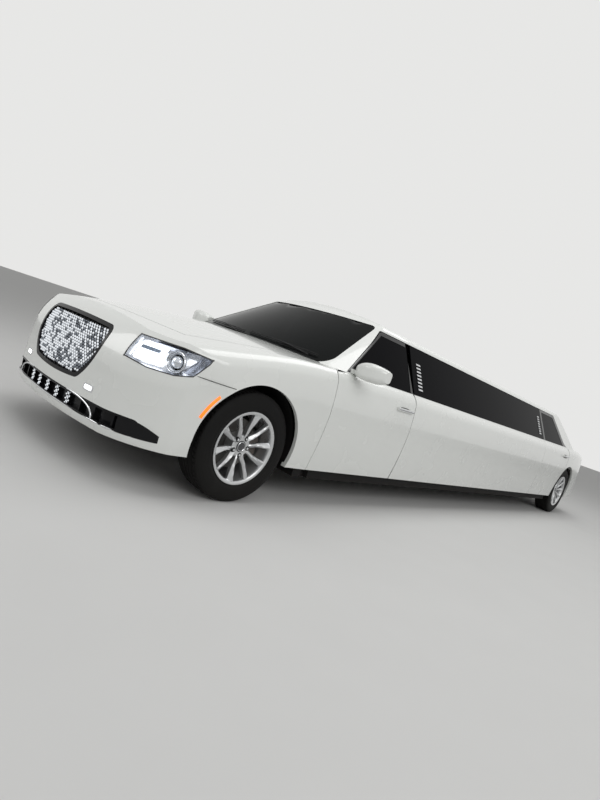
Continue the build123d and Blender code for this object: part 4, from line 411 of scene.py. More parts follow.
cast_iron = finish(
    "cast iron", (0.13, 0.12, 0.115), (0.2, 0.17, 0.15), (0.5, 0.7), metal=0.7, bump=0.0006, scale=400,
)
# painted shade: the brake disc is steel, darkened beyond bare steel to stand for the shade inside the wheel
# behind the spokes
disc_steel_painted_shade = finish(
    "brake disc", (0.11, 0.108, 0.105), (0.07, 0.066, 0.06), (0.35, 0.5), metal=0.8, scale=300,
)
alloy = finish(
    "wheel alloy", (0.66, 0.67, 0.68), (0.58, 0.59, 0.60), (0.2, 0.3), metal=0.85, coat=0.5, bump=0.00003,
    scale=900, film=0.2, film_top=0.6,
)
rubber = finish(
    "tyre rubber", (0.006, 0.006, 0.006), (0.009, 0.0088, 0.0085), (0.55, 0.75), bump=0.0003, scale=700,
    film=0.05, film_top=0.4, specular=0.12,
)
seal = finish("rubber seal", (0.010, 0.010, 0.010), (0.016, 0.016, 0.016), (0.5, 0.6), scale=500)
leather = finish(
    "black leather", (0.02, 0.019, 0.018), (0.03, 0.028, 0.026), (0.35, 0.5), bump=0.0006, scale=260,
)
cabin_plastic = finish(
    "cabin plastic", (0.03, 0.03, 0.03), (0.045, 0.044, 0.042), (0.5, 0.65), bump=0.0003, scale=600,
)
pipe_steel = finish(
    "exhaust steel", (0.32, 0.3, 0.27), (0.22, 0.19, 0.16), (0.3, 0.5), metal=1.0, bump=0.0002, scale=120,
)
# painted glint: the crystal finish glows though no stone is a lamp, and the darker copy after it is the
# same crystal with painted shade
crystal = finish(
    "crystal", (0.97, 0.98, 1.0), (0.80, 0.85, 0.92), (0.03, 0.08), metal=0.4, coat=1.0, scale=90,
    patches=60, glow=(0.9, 0.95, 1.0), glow_strength=0.30,
)
shade_painted_crystal = finish(
    "dim crystal", (0.30, 0.33, 0.38), (0.12, 0.14, 0.17), (0.03, 0.08), metal=0.9, coat=1.0, scale=90,
    patches=60,
)
cap_black = finish(
    "wheel cap", (0.05, 0.05, 0.055), (0.08, 0.08, 0.085), (0.15, 0.25), metal=0.6, coat=0.5, scale=120,
)
clear_lens = finish(
    "clear lens", (0.97, 0.98, 1.0), (0.94, 0.96, 0.98), (0.0, 0.02), transmission=1.0, ior=1.12, scale=20,
)
lamp_chrome = finish(
    "lamp reflector", (0.8, 0.81, 0.83), (0.7, 0.71, 0.74), (0.08, 0.16), metal=1.0, scale=200,
)
lamp_light = finish(
    "lit lamp", (1.0, 1.0, 1.0), (0.95, 0.97, 1.0), (0.2, 0.3), glow=(0.94, 0.96, 1.0), glow_strength=2.2,
    scale=60,
)
amber_light = finish(
    "lit amber marker", (0.9, 0.16, 0.01), (0.95, 0.22, 0.02), (0.2, 0.3), glow=(1.0, 0.17, 0.01),
    glow_strength=1.1, scale=60,
)
red_lens = finish(
    "red lens", (0.42, 0.006, 0.008), (0.3, 0.004, 0.006), (0.06, 0.1), coat=1.0, scale=60, bump=0.0003,
)

# %% [markdown]
# The solids' own meshes stay as they are. Each gets its finish, and two modifiers that change
# no point: Weld joins the loose triangles, and Edge Split keeps creases sharp under smooth
# shading, so that lacquer reflects in one even line.

# %% Dress the solids
BY_NAME = (
    ("glass", dark_glass), ("windscreen", screen_glass), ("rear_window", dark_glass),
    ("cowl_panel", black_plastic), ("body_frame", underbody), ("suspension", underbody),
    ("driveline", underbody), ("engine", cast_iron), ("knuckle", cast_iron), ("exhaust", pipe_steel),
    ("dashboard", cabin_plastic), ("partition", cabin_plastic), ("seat", leather), ("bench", leather),
    ("tyre", rubber), ("rim", alloy), ("tail_lamps", red_lens), ("lower_grille", black_gloss),
    ("grille", black_gloss), ("headlamps", lamp_chrome), ("gills", chrome), ("door", door_paint),
)
for name, node in nodes.items():
    chosen = next((material for key, material in BY_NAME if key in name), white_paint)
    node.data.materials.clear()
    node.data.materials.append(chosen)
    node.data.polygons.foreach_set("use_smooth", np.ones(len(node.data.polygons), bool))
    weld = node.modifiers.new("join", "WELD")
    weld.merge_threshold = 2e-5
    creases = node.modifiers.new("creases", "EDGE_SPLIT")
    creases.split_angle = float(SHARP)
print("solids dressed")

# %% [markdown]
# The four wheels are made alike, from two axles, the height of a hub and the distance of each
# wheel's middle from the car's. A point of a wheel is given round its own axle.

# %% Wheel places
FRONT_AXLE, REAR_AXLE, HUB = 3.450, -3.158, 0.350
WHEELS = [
    (f"{end}_tyre_{label}", f"{end}_rim_{label}", f"{end}_wheel_{label}", axle, middle, side)
    for end, axle, middle in (("front", FRONT_AXLE, 0.8055), ("rear", REAR_AXLE, 0.810))
    for label, side in (("left", 1), ("right", -1))
]


def about_axle(radius, across, angle, axle, middle, side):
    """Radius, distance out of the car and angle round the axle, as points of the car."""
    return np.stack(
        np.broadcast_arrays(
            axle + radius * np.cos(angle), side * (middle + across), HUB + radius * np.sin(angle),
        ),
        axis=-1,
    )


# %% [markdown]
# A tyre is one closed curve carried round the axle. Its radius drops at four grooves and at the
# slots across the shoulders, so the tread is a real relief and not a picture of one.

# %% Tyres
TREAD_RADIUS, TREAD_HALF, CROWN = 0.3498, 0.080, 0.0018
GROOVES, GROOVE_HALF, GROOVE_DEPTH = (-0.050, -0.018, 0.018, 0.050), 0.0042, 0.0065
SLOT_COUNT, SLOT_SLANT, SLOT_SHARE, SLOT_FROM, SLOT_DEPTH = 70, 26, 0.72, 0.054, 0.0045
RIB_RADIUS, RIB_HALF, RIB_HIGH = 0.262, 0.003, 0.0012
section_r = np.array(
    [0.2165, 0.2180, 0.2330, 0.2420, 0.2560, 0.2850, 0.3100, 0.3280, 0.3380, 0.3450, 0.3478]
)
section_y = np.array(
    [0.0850, 0.0968, 0.0968, 0.1010, 0.1055, 0.1073, 0.1055, 0.1010, 0.0960, 0.0900, 0.0820]
)
fill = np.linspace(0, 1, 41)
share = np.linspace(0, 1, len(section_r))
wall_r, wall_y = np.interp(fill, share, section_r), np.interp(fill, share, section_y)
tread_y = np.linspace(TREAD_HALF, -TREAD_HALF, 61)
tread_r = TREAD_RADIUS - CROWN * (tread_y / TREAD_HALF) ** 2
inner_y = np.linspace(-TREAD_HALF, TREAD_HALF, 9)
inner_r = np.full(9, 0.330) - 0.110 * (np.abs(inner_y) / 0.085) ** 8
ring_r = np.concatenate([wall_r, tread_r, wall_r[::-1], inner_r])
ring_y = np.concatenate([wall_y, tread_y, -wall_y[::-1], inner_y])
turns = full_turn(360)[:, None]
on_tread = (np.abs(ring_y) < 0.086) & (ring_r > 0.34)
grooves = np.clip(sum(np.exp(-(((ring_y - y) / GROOVE_HALF) ** 4)) for y in GROOVES), 0, 1)
slots = np.sin(SLOT_COUNT * turns + SLOT_SLANT * np.abs(ring_y)[None]) > SLOT_SHARE
slots &= (np.abs(ring_y) > SLOT_FROM)[None]
sunk = np.where(on_tread[None], GROOVE_DEPTH * grooves[None] + SLOT_DEPTH * slots, 0.0)
rib = RIB_HIGH * np.exp(-(((ring_r - RIB_RADIUS) / RIB_HALF) ** 2))
for tyre_node, _, body, axle, middle, side in WHEELS:
    rounds = about_axle(
        ring_r[None] - sunk, (ring_y + np.sign(ring_y) * rib)[None], turns, axle, middle, side,
    )
    piece(
        tyre_node + "_tread", [grid(rounds, True, True)], rubber, body, stands_for=(tyre_node,),
    )
print("tyre section", len(ring_r), "points,", len(turns), "round")

# %% [markdown]
# The wheels are bright cast alloy. Ten spokes stand in five pairs round the wheel nuts. Each
# spoke has a ridge that crosses from one of its edges to the other between hub and rim, which
# is what makes them look twisted. The other forms are profiles turned about the axle.

# %% Wheels
PAIRS, PAIR_TURN, FIRST = 5, 2 * np.pi / 5, np.radians(-100.0)
SPOKE_ROOT, SPOKE_LONG, SPOKE_HALF, SPOKE_WAIST, SPOKE_FLARE = 0.050, 0.163, 0.0150, 0.0015, 0.006
FACE_AT_HUB, FACE_RISE, DEEP_AT_HUB, DEEP_GAIN, RIDGE_HIGH = 0.058, 0.036, 0.028, 0.004, 0.0100
SWING_DEGREES, SWING_LOST = 20.5, 3.5
BOLT_CIRCLE, TOP_BEVEL = 0.0555, 0.002
rim_profile = np.array([
    (0.206, -0.100), (0.2335, -0.1025), (0.2335, -0.097), (0.2155, -0.095), (0.2155, -0.070),
    (0.205, -0.055), (0.205, 0.020), (0.2155, 0.045), (0.2155, 0.094), (0.2290, 0.0955),
    (0.2325, 0.0975), (0.2335, 0.1000), (0.2325, 0.1022), (0.2290, 0.1025), (0.2200, 0.1000),
    (0.2130, 0.0960), (0.2090, 0.0880), (0.2075, 0.0600), (0.1980, 0.0200), (0.1980, -0.060),
    (0.2040, -0.080),
])
hub_profile = np.array([
    (0.0255, -0.0118), (0.0720, -0.0118), (0.0720, 0.0480), (0.0700, 0.0570), (0.0640, 0.0620),
    (0.0400, 0.0630), (0.0365, 0.0625), (0.0355, 0.0560), (0.0255, 0.0560),
])
cap_profile = np.array([
    (0.0, 0.0560), (0.0350, 0.0560), (0.0350, 0.0640), (0.0330, 0.0665), (0.0270, 0.0670),
    (0.0250, 0.0655), (0.0, 0.0685),
])
ring_profile = np.array([
    (0.0262, 0.0640), (0.0268, 0.0672), (0.0285, 0.0684), (0.0302, 0.0672), (0.0308, 0.0640),
])
disc_profile = np.array([
    (0.0602, -0.036), (0.160, -0.036), (0.160, -0.014), (0.0722, -0.014), (0.0722, -0.0122),
    (0.0602, -0.0122),
])


def round_axle(profile, count, *place):
    """A profile of (radius, across) pairs turned about the axle."""
    angle = full_turn(count)[:, None]
    return grid(about_axle(profile[None, :, 0], profile[None, :, 1], angle, *place), True, True)


travel = np.linspace(0, 1, 25)[:, None]
# across the spoke: share of its half width, and share of its depth
spoke_side = np.array((-1.0, -0.92, -0.45, 0.0, 0.45, 0.92, 1.0, 0.75, -0.75))[None]
spoke_depth = np.array((0.55, 0.12, 0.0, 0.0, 0.0, 0.12, 0.55, 1.0, 1.0))[None]


def spoke(pair, way, *place):
    """A closed nine-point section carried out along a radius, with a ridge that changes edge."""
    radius = SPOKE_ROOT + SPOKE_LONG * travel
    swing = np.radians(SWING_DEGREES - SWING_LOST * travel) * way * np.clip(0.62 + 0.9 * travel, 0, 1)
    angle = FIRST + pair * PAIR_TURN + swing
    waist = SPOKE_WAIST * np.sin(np.pi * np.clip(travel * 1.15, 0, 1))
    half_width = SPOKE_HALF - waist + SPOKE_FLARE * travel**2
    face = FACE_AT_HUB + FACE_RISE * travel**0.9
    deep = DEEP_AT_HUB + DEEP_GAIN * travel
    ridge = way * (0.85 - 1.7 * travel)
    lean = RIDGE_HIGH * (1 - np.abs(spoke_side - ridge)) * (spoke_depth < 0.5)
    across = face - deep * spoke_depth + lean
    shift = spoke_side * half_width
    points = about_axle(np.hypot(radius, shift), across, angle + np.arctan2(shift, radius), *place)
    return grid(shut(points), False, True)


def nuts(low, high, size, sides, *place):
    """Five small studs on the bolt circle, each a ring of sides drawn in at its top."""
    ring = full_turn(sides)
    heights = np.array((low, low, high - TOP_BEVEL, high, high))[:, None]
    sizes = size * np.array((0.0, 1.0, 1.0, 0.8, 0.0))[:, None]
    x, z = sizes * np.cos(ring), sizes * np.sin(ring)
    radius, turn = np.hypot(BOLT_CIRCLE + x, z), np.arctan2(z, BOLT_CIRCLE + x)
    return [
        grid(about_axle(radius, heights + 0 * x, FIRST + number * PAIR_TURN + turn, *place), False, True)
        for number in range(PAIRS)
    ]


for _, rim_node, body, axle, middle, side in WHEELS:
    place = (axle, middle, side)
    cast = [round_axle(rim_profile, 120, *place), round_axle(hub_profile, 80, *place)]
    cast += [spoke(pair, way, *place) for pair in range(PAIRS) for way in (-1, 1)]
    piece(rim_node + "_casting", cast, alloy, body, stands_for=(rim_node,))
    piece(rim_node + "_cap", [round_axle(cap_profile, 48, *place)], cap_black, body)
    piece(rim_node + "_cap_ring", [round_axle(ring_profile, 64, *place)], chrome, body)
    piece(rim_node + "_disc", [round_axle(disc_profile, 96, *place)], disc_steel_painted_shade, body)
    # painted shade: black discs round the nuts stand for the shade down in the nut wells
    piece(rim_node + "_nut_well_shade", nuts(0.040, 0.0642, 0.0158, 24, *place), black_plastic, body)
    piece(rim_node + "_nuts", nuts(0.050, 0.0685, 0.0085, 6, *place), chrome, body, smooth=False)

# %% [markdown]
# Small pieces on the curved skin need its exact place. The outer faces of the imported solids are
# read as arrays, and a polynomial in two variables is fitted to them, so that the skin's x (or
# its y, on the flanks) is a formula.

# %% Shape of the skin
def solid_skin(name):
    """Merged points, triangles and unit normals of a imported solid."""
    mesh = nodes[name].data
    mesh.calc_loop_triangles()
    points = np.empty(3 * len(mesh.vertices), np.float32)
    mesh.vertices.foreach_get("co", points)
    corners = np.empty(3 * len(mesh.loop_triangles), np.int32)
    mesh.loop_triangles.foreach_get("vertices", corners)
    places, merged = np.unique(
        np.round(points.reshape(-1, 3).astype(float), 5), axis=0, return_inverse=True,
    )
    triangles = merged.reshape(-1)[corners].reshape(-1, 3)
    a, b, c = places[triangles].transpose(1, 0, 2)
    face = np.cross(b - a, c - a)
    area = np.linalg.norm(face, axis=1)
    real = area > 1e-10
    return places, triangles[real], face[real] / area[real, None]


def fitted(a, b, values, degree_a, degree_b, centre):
    """The polynomial about a centre that lies nearest to the values, as a function of a and b."""
    powers = [(i, j) for i in range(degree_a + 1) for j in range(degree_b + 1)]
    columns = [(a - centre[0]) ** i * (b - centre[1]) ** j for i, j in powers]
    weights = np.linalg.lstsq(np.stack(columns, -1), values, rcond=None)[0]
    return lambda p, q: sum(
        w * (p - centre[0]) ** i * (q - centre[1]) ** j for w, (i, j) in zip(weights, powers)
    )


ANY = np.inf


def picked(places, triangles, low=(-ANY, -ANY, -ANY), high=(ANY, ANY, ANY)):
    """x, y and z of the triangles' points that lie in a box."""
    chosen = places[np.unique(triangles)]
    return chosen[((chosen > low) & (chosen < high)).all(axis=1)].T


places, triangles, normals = solid_skin("front_bumper")
middles = places[triangles].mean(axis=1)
# outer faces only: those of the inner skin look back
ahead = (normals[:, 0] > 0.35) & (np.abs(normals[:, 1]) < 0.9)
ahead &= (np.abs(middles[:, 1]) < 0.66) & (middles[:, 2] > 0.26)
x, y, z = picked(places, triangles[ahead])
front_fit = fitted(y**2, z, x, 4, 4, (0.0, 0.6))
print("nose skin points", len(x), "largest miss", float(np.abs(front_fit(y**2, z) - x).max()))
# the left flank ahead of the wheel: its y from x and the height
outside = (normals[:, 1] > 0.45) & (middles[:, 1] > 0)
x, y, z = picked(places, triangles[outside], (-ANY, -ANY, 0.30), (4.06, ANY, 0.72))
flank_y = fitted(x, z, y, 2, 2, (3.8, 0.55))
print("flank points", len(x), "y by the marker", float(flank_y(3.82, 0.55)))
# the bumper's left corner: its x from y and the height
outside = (normals[:, 0] > 0.2) & (normals[:, 1] > 0.1)
x, y, z = picked(places, triangles[outside], (-ANY, 0.60, 0.24), (ANY, 0.93, 0.45))
corner_x = fitted(y, z, x, 4, 2, (0.76, 0.34))
print("corner points", len(x))


def nose_x(y, z):
    """x of the nose's skin, from the distance to the middle and the height."""
    return front_fit(y**2, z)


def grille_half_width(z):
    """Half width of the grille opening at a height, between its narrow foot and its wide top."""
    return np.interp(
        z, (0.446, 0.462, 0.50, 0.55, 0.64, 0.72, 0.808), (0.20, 0.285, 0.336, 0.371, 0.404, 0.408, 0.398),
    )


def sheet_edges(triangles, count):
    """All edges of a sheet, and a mask of those that belong to one triangle only."""
    edges = np.concatenate([triangles[:, (0, 1)], triangles[:, (1, 2)], triangles[:, (2, 0)]])
    code, back = edges[:, 0] * count + edges[:, 1], edges[:, 1] * count + edges[:, 0]
    return edges, ~np.isin(code, back)


def shell(points, triangles, sink, depth):
    """A closed shell: a sheet sunk along its normals, a second one deeper, and walls round the rim."""
    used, triangles = np.unique(triangles, return_inverse=True)
    triangles = triangles.reshape(-1, 3)
    points = points[used]
    a, b, c = points[triangles].transpose(1, 0, 2)
    face = np.cross(b - a, c - a)
    normal = np.zeros_like(points)
    for corner in range(3):
        np.add.at(normal, triangles[:, corner], face)
    normal /= np.linalg.norm(normal, axis=1, keepdims=True)
    count = len(points)
    edges, bare = sheet_edges(triangles, count)
    rim = edges[bare]
    both = np.vstack([points - sink * normal, points - (sink + depth) * normal])
    walls = np.stack([rim[:, 0], rim[:, 1], rim[:, 1] + count, rim[:, 0] + count], -1)
    return [(both, np.vstack([triangles, triangles[:, ::-1] + count])), (both, walls)]


def rim_strip(points, triangles, wide, high):
    """A small bar along every edge of a sheet's rim, lying across the sheet."""
    corners = points[triangles]
    face = np.cross(corners[:, 1] - corners[:, 0], corners[:, 2] - corners[:, 0])
    face /= np.linalg.norm(face, axis=1, keepdims=True)
    edges, bare = sheet_edges(triangles, len(points))
    ends, normal = points[edges[bare]], np.concatenate([face, face, face])[bare]
    along = ends[:, 1] - ends[:, 0]
    along /= np.linalg.norm(along, axis=1, keepdims=True)
    inward = np.cross(normal, along)
    a, b = ends[:, 0] - along * wide / 3, ends[:, 1] + along * wide / 3
    box = np.stack([
        end + inner * wide * inward + rise * normal
        for end in (a, b) for inner in (0.0, 1.0) for rise in (-high, high)
    ], axis=1)
    sides = np.array(((0, 1, 3, 2), (4, 6, 7, 5), (0, 4, 5, 1), (2, 3, 7, 6), (0, 2, 6, 4), (1, 5, 7, 3)))
    faces = sides[None] + (np.arange(len(box)) * 8)[:, None, None]
    return [(box.reshape(-1, 3), faces.reshape(-1, 4))]


print("nose at the middle of the grille", float(nose_x(0.0, 0.64)))

# %% [markdown]
# The grille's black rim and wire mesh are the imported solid. Cut crystals stand on it. One crystal
# is a stone of 22 faces, and it is repeated on a staggered grid that keeps inside the opening.

# %% Grille crystals
def stones(y, z, x, size, sides=6):
    """One cut stone at each place: a table, a girdle and a point behind, all as one array."""
    ring = full_turn(sides)
    out = size * np.array((0.55, 1.0, 0.0))[:, None]
    ahead = size * np.array((0.75, 0.1, -0.5))[:, None]
    local = np.stack([ahead + 0 * ring, out * np.cos(ring), out * np.sin(ring)], axis=-1).reshape(-1, 3)
    table = np.arange(sides)
    around = np.roll(table, -1)
    crown = np.stack([table, around, around + sides], -1)
    crown_low = np.stack([table, around + sides, table + sides], -1)
    pavilion = np.stack([table + sides, around + sides, table + 2 * sides], -1)
    top = np.stack([np.zeros(sides - 2, int), np.arange(2, sides), np.arange(1, sides - 1)], -1)
    one = np.vstack([crown, crown_low, pavilion, top])
    centres = np.stack([x, y, z], axis=-1).reshape(-1, 1, 3)
    count = len(centres)
    points = (centres + local[None]).reshape(-1, 3)
    faces = (one[None] + (np.arange(count) * len(local))[:, None, None]).reshape(-1, 3)
    return points, faces


PITCH_Y, PITCH_Z, STONE, STONE_SUNK = 0.0270, 0.0150, 0.0088, 0.014
OPENING_LOW, OPENING_HIGH, SHADE_PAINTED_SHARE = 0.447, 0.812, 0.35
SIDE_ROOM, FOOT_ROOM, HEAD_ROOM = 0.026, 0.024, 0.03
rows_z = np.arange(0.470, 0.796, PITCH_Z)
columns_y = np.arange(-15, 16) * PITCH_Y
row, column = np.meshgrid(np.arange(len(rows_z)), np.arange(len(columns_y)), indexing="ij")
stone_y = columns_y[column] + np.where(row % 2, PITCH_Y / 2, 0)
stone_z = rows_z[row]
low_edge = OPENING_LOW + 0.030 * (np.abs(stone_y) / 0.29) ** 3
inside = np.abs(stone_y) < grille_half_width(stone_z) - SIDE_ROOM
inside &= (stone_z > low_edge + FOOT_ROOM) & (stone_z < OPENING_HIGH - HEAD_ROOM)
stone_y, stone_z = stone_y[inside], stone_z[inside]
# painted glint and painted shade: a stone takes the glowing or the darkened copy of the crystal finish by a
# hash of its number, so that the mesh seems to sparkle
lit = (43758.5453 * np.sin(12.9898 * np.arange(len(stone_y)))) % 1.0 > SHADE_PAINTED_SHARE
for label, some, material in (("glint_painted", lit, crystal), ("shade_painted", ~lit, shade_painted_crystal)):
    y, z = stone_y[some], stone_z[some]
    some_stones = stones(y, z, nose_x(y, z) - STONE_SUNK, STONE)
    piece(f"grille_crystals_{label}", [some_stones], material, smooth=False)
print("grille crystals", len(stone_y))

# %% [markdown]
# A headlamp is a clear shell over a liner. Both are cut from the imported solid's own faces: the
# ones that face out of the car are the lens, and the rest, seen from inside, are the liner.
# Within stand a projector, made of profiles turned about its axis, a lit panel and a bar.

# %% Headlamps
def turned(profile, centre, axis, sides=48):
    """A profile of (radius, height) pairs turned about an axis through a centre."""
    axis = np.asarray(axis, float) / np.linalg.norm(axis)
    side = np.cross(axis, (0, 0, 1.0))
    side /= np.linalg.norm(side)
    top = np.cross(side, axis)
    angle = full_turn(sides)[None, :, None]
    radius, height = np.asarray(profile, float).T[:, :, None, None]
    out = np.cos(angle) * side + np.sin(angle) * top
    return grid(centre + radius * out + height * axis, False, True)


places, triangles, normals = solid_skin("headlamps")
middles = places[triangles].mean(axis=1)
outward = normals[:, 1] * np.sign(middles[:, 1]) > 0.03
for label, way in (("left", 1), ("right", -1)):
    here = np.sign(middles[:, 1]) == way
    piece(
        f"lamp_lens_{label}", shell(places, triangles[here & outward], 0.0, 0.003), clear_lens,
        stands_for=("headlamps",),
    )
    piece(f"lamp_liner_{label}", shell(places, triangles[here & ~outward], 0.0015, 0.002), lamp_liner)
    piece(
        f"lamp_seal_{label}", rim_strip(places, triangles[here & outward], 0.0055, 0.0012), seal,
        smooth=False,
    )

x, y, z = picked(places, triangles[outward & (middles[:, 1] > 0)])
lamp_x = fitted(y, z, x, 3, 2, (0.74, 0.74))


def skin_pad(skin, y0, y1, z0, z1, low, high, round_power=6.0):
    """A pad between two distances ahead of a skin, rounded at its corners."""
    y, z = oblong(y0, y1, z0, z1, full_turn(48)[None], np.linspace(0, 1, 7)[:, None], round_power)
    x = skin(y, z)
    rings = np.concatenate([np.stack([x + high, y, z], -1), np.stack([x + low, y, z], -1)[::-1]])
    return grid(rings, False, True)


PROJECTOR_Y, PROJECTOR_Z, PROJECTOR_SUNK = 0.795, 0.738, 0.034
projector_place = np.array((lamp_x(PROJECTOR_Y, PROJECTOR_Z) - PROJECTOR_SUNK, PROJECTOR_Y, PROJECTOR_Z))
projector_axis = np.array((0.90, 0.42, 0.04))
bowl_profile = [
    (0, -0.028), (0.030, -0.026), (0.041, -0.010), (0.047, 0.004), (0.049, 0.006), (0.051, 0.004),
    (0.044, -0.014), (0.032, -0.030), (0, -0.032),
]
outer_ring = [
    (0.052, 0.000), (0.055, 0.008), (0.0575, 0.010), (0.060, 0.006), (0.059, -0.004), (0.053, -0.004),
    (0.052, 0.000),
]
dome_profile = [
    (0, -0.024), (0.033, -0.022), (0.0345, -0.012), (0.032, -0.002), (0.024, 0.006), (0.012, 0.011),
    (0, 0.0125),
]
lamp_parts = (
    ("projector_bowl", [turned(bowl_profile, projector_place, projector_axis)], chrome),
    ("projector_dome", [turned(dome_profile, projector_place, projector_axis)], mirror_glass),
    ("lit_panel", [skin_pad(lamp_x, 0.612, 0.742, 0.690, 0.798, -0.037, -0.032, 8.0)], lamp_light),
    ("lamp_bar", [skin_pad(lamp_x, 0.628, 0.722, 0.752, 0.772, -0.030, -0.024, 8.0)], lamp_blue),
    ("projector_ring", [turned(outer_ring, projector_place, projector_axis)], lamp_chrome),
)
for label, parts, material in lamp_parts:
    both_sides(label, parts, material)

# %% [markdown]
# The marker ahead of the wheel is an arc about the axle. The driving lamps, the bumper's seam,
# the bright lines, the black ends and the crystals of the lower grille lie on the skin by its
# formulas.

# %% Marker, driving lamps and lower grille
def arc_strip(r0, r1, a0, a1, proud):
    """A strip round the wheel arch on the left flank, from angle a0 to a1."""
    r = np.linspace(r0, r1, 7)[None]
    angle = np.radians(np.linspace(a0, a1, 41))[:, None]
    x, z = FRONT_AXLE + r * np.cos(angle), HUB + r * np.sin(angle)
    across = np.linspace(-1, 1, 7)[None]
    along = np.linspace(-1, 1, 41)[:, None]
    bulge = (1 - across**2) ** 0.5 * (1 - np.abs(along) ** 12)
    y = flank_y(x, z)
    outer = np.stack([x, y + proud * bulge, z], -1)
    inner = np.stack([x, y - 0.004 + 0 * x, z], -1)
    return slab(outer, inner)


def nose_line(y, z, sunk, radius):
    """A round line along the nose, its middle sunk below the skin."""
    return [tube(np.stack([nose_x(y, z) - sunk, y, z], -1), radius, 12)]


marker = [arc_strip(0.416, 0.434, 19.0, 40.5, 0.004)]
driving = [skin_pad(nose_x, 0.400, 0.466, 0.434, 0.458, -0.004, 0.0015)]
driving_frame = [skin_pad(nose_x, 0.390, 0.476, 0.426, 0.466, -0.005, 0.0008)]
BEZEL_HALF, BEZEL_Z = 0.74, 0.292
bezel_y = np.linspace(-BEZEL_HALF, BEZEL_HALF, 121)
bezel = nose_line(bezel_y, np.full(121, BEZEL_Z), 0.0030, 0.0058)
# the divider runs outwards from the intake's top edge and bends down to its foot
DIVIDER_Y, DIVIDER_OUT, DIVIDER_Z, DIVIDER_DROP = 0.250, 0.270, 0.384, 0.088
fall = np.linspace(0, 1, 61)
divider_y = DIVIDER_Y + DIVIDER_OUT * (1 - (1 - fall) ** 2.2)
divider_z = DIVIDER_Z - DIVIDER_DROP * fall**1.8
divider = nose_line(divider_y, divider_z, 0.002, 0.0060)
# the seam runs back from the lamp to the wheel arch
SEAM_X, SEAM_LONG, SEAM_Z, SEAM_DROP = 3.935, 0.245, 0.702, 0.012
seam_run = np.linspace(0, 1, 41)
seam_x, seam_z = SEAM_X - SEAM_LONG * seam_run, SEAM_Z - SEAM_DROP * seam_run
seam = [tube(np.stack([seam_x, flank_y(seam_x, seam_z) - 0.0006, seam_z], -1), 0.0020, 8)]
nose_trim = (
    ("marker", marker, amber_light), ("driving_lamp", driving, lamp_light),
    ("driving_frame", driving_frame, chrome), ("lower_divider", divider, chrome),
    ("bumper_seam", seam, seal),
)
for label, parts, material in nose_trim:
    both_sides(label, parts, material)
piece("lower_bezel", bezel, chrome)


def corner_wedge(y0, y1, top0, top1, low0, low1, proud):
    """A pad round the bumper's corner between a falling top line and a rising low line."""
    u, v = np.linspace(0, 1, 41)[:, None], np.linspace(0, 1, 9)[None]
    y = y0 + (y1 - y0) * u + 0 * v
    top = top0 + (top1 - top0) * u**2.6
    low = low0 + (low1 - low0) * u**2.6
    z = low + (top - low) * v
    x = corner_x(y, z)
    outer = np.stack([x + proud, y, z], -1)
    inner = np.stack([x - 0.006, y, z], -1)
    return slab(outer, inner)


both_sides("lower_tip", [corner_wedge(0.690, 0.850, 0.384, 0.336, 0.289, 0.297, 0.0012)], black_gloss)
# five columns of crystals, each two stones wide and staggered
COLUMNS_APART, STONES_APART, ROW_PITCH, STAGGER = 0.130, 0.020, 0.0125, 0.006
low_row, low_column = np.meshgrid(np.arange(7), np.arange(10), indexing="ij")
low_y = (low_column // 2 - 2) * COLUMNS_APART + (low_column % 2 - 0.5) * STONES_APART
low_y = (low_y + STAGGER * np.where(low_row % 2, 1, -1)).ravel()
low_z = (0.302 + low_row * ROW_PITCH + STAGGER * (low_column % 2)).ravel()
low_stones = stones(low_y, low_z, nose_x(low_y, low_z) - 0.012, 0.0066)
# painted glint: these stones take the glowing crystal finish as well
piece("lower_crystals", [low_stones], crystal, smooth=False)

# %% [markdown]
# At the tail, polynomials give the skin of the boot lid and the bumper. The lid's halves of the
# tail lamps lie flush in their openings, with a bright strip between them, and the bumper has
# two red reflectors. A tip is a profile turned about the end of its tailpipe.

# %% Tail
def tail_fit_of(name, low, high):
    """x of a rear panel's outer skin as a function of y and z, fitted between two heights."""
    places, triangles, normals = solid_skin(name)
    x, y, z = picked(places, triangles[normals[:, 0] < -0.45], (-ANY, -0.78, low), (ANY, 0.78, high))
    fit = fitted(y**2, z, x, 4, 3, (0.0, low))
    print(name, "skin points", len(x))
    return lambda y, z: fit(y**2, z)


def tail_pad(skin, y0, y1, z0, z1, low, high, round_power=8.0):
    """Two sheets at two heights over a rear panel's skin, rounded at their corners."""
    y, z = oblong(y0, y1, z0, z1, full_turn(64)[None], np.linspace(0, 1, 9)[:, None], round_power)
    x = skin(y, z)
    rings = np.concatenate([np.stack([x - low, y, z], -1)[::-1], np.stack([x - high, y, z], -1)])
    return grid(rings, False, True)


lid_skin = tail_fit_of("boot_lid", 0.70, 0.98)
bumper_skin = tail_fit_of("rear_bumper", 0.30, 0.69)
tip_profile = [
    (0.0330, -0.045), (0.0345, -0.047), (0.0360, -0.045), (0.0360, 0.060), (0.0300, 0.075),
    (0.0288, 0.075), (0.0330, 0.055), (0.0330, -0.045),
]
tip_place = np.array((-4.235, 0.265, 0.232))
tail_lens = tail_pad(lid_skin, 0.561, 0.6975, 0.740, 0.912, -0.022, 0.0, 14.0)
tail_band = tail_pad(lid_skin, 0.572, 0.690, 0.818, 0.836, -0.004, 0.0008)
reflector = tail_pad(bumper_skin, 0.560, 0.690, 0.395, 0.417, -0.004, 0.001)
rear_parts = (
    ("tail_lens", tail_lens, red_lens, "boot_lid"),
    ("tail_band", tail_band, lamp_chrome, "boot_lid"),
    ("reflector", reflector, red_lens, "body"),
    ("exhaust_tip", turned(tip_profile, tip_place, (1.0, 0, 0)), chrome, "body"),
)
for label, part, material, body in rear_parts:
    both_sides(label, [part], material, body, body)
lid_strip = tail_pad(lid_skin, -0.535, 0.535, 0.762, 0.776, -0.004, 0.0015, 10.0)
piece("lid_strip", [lid_strip], chrome, "boot_lid")
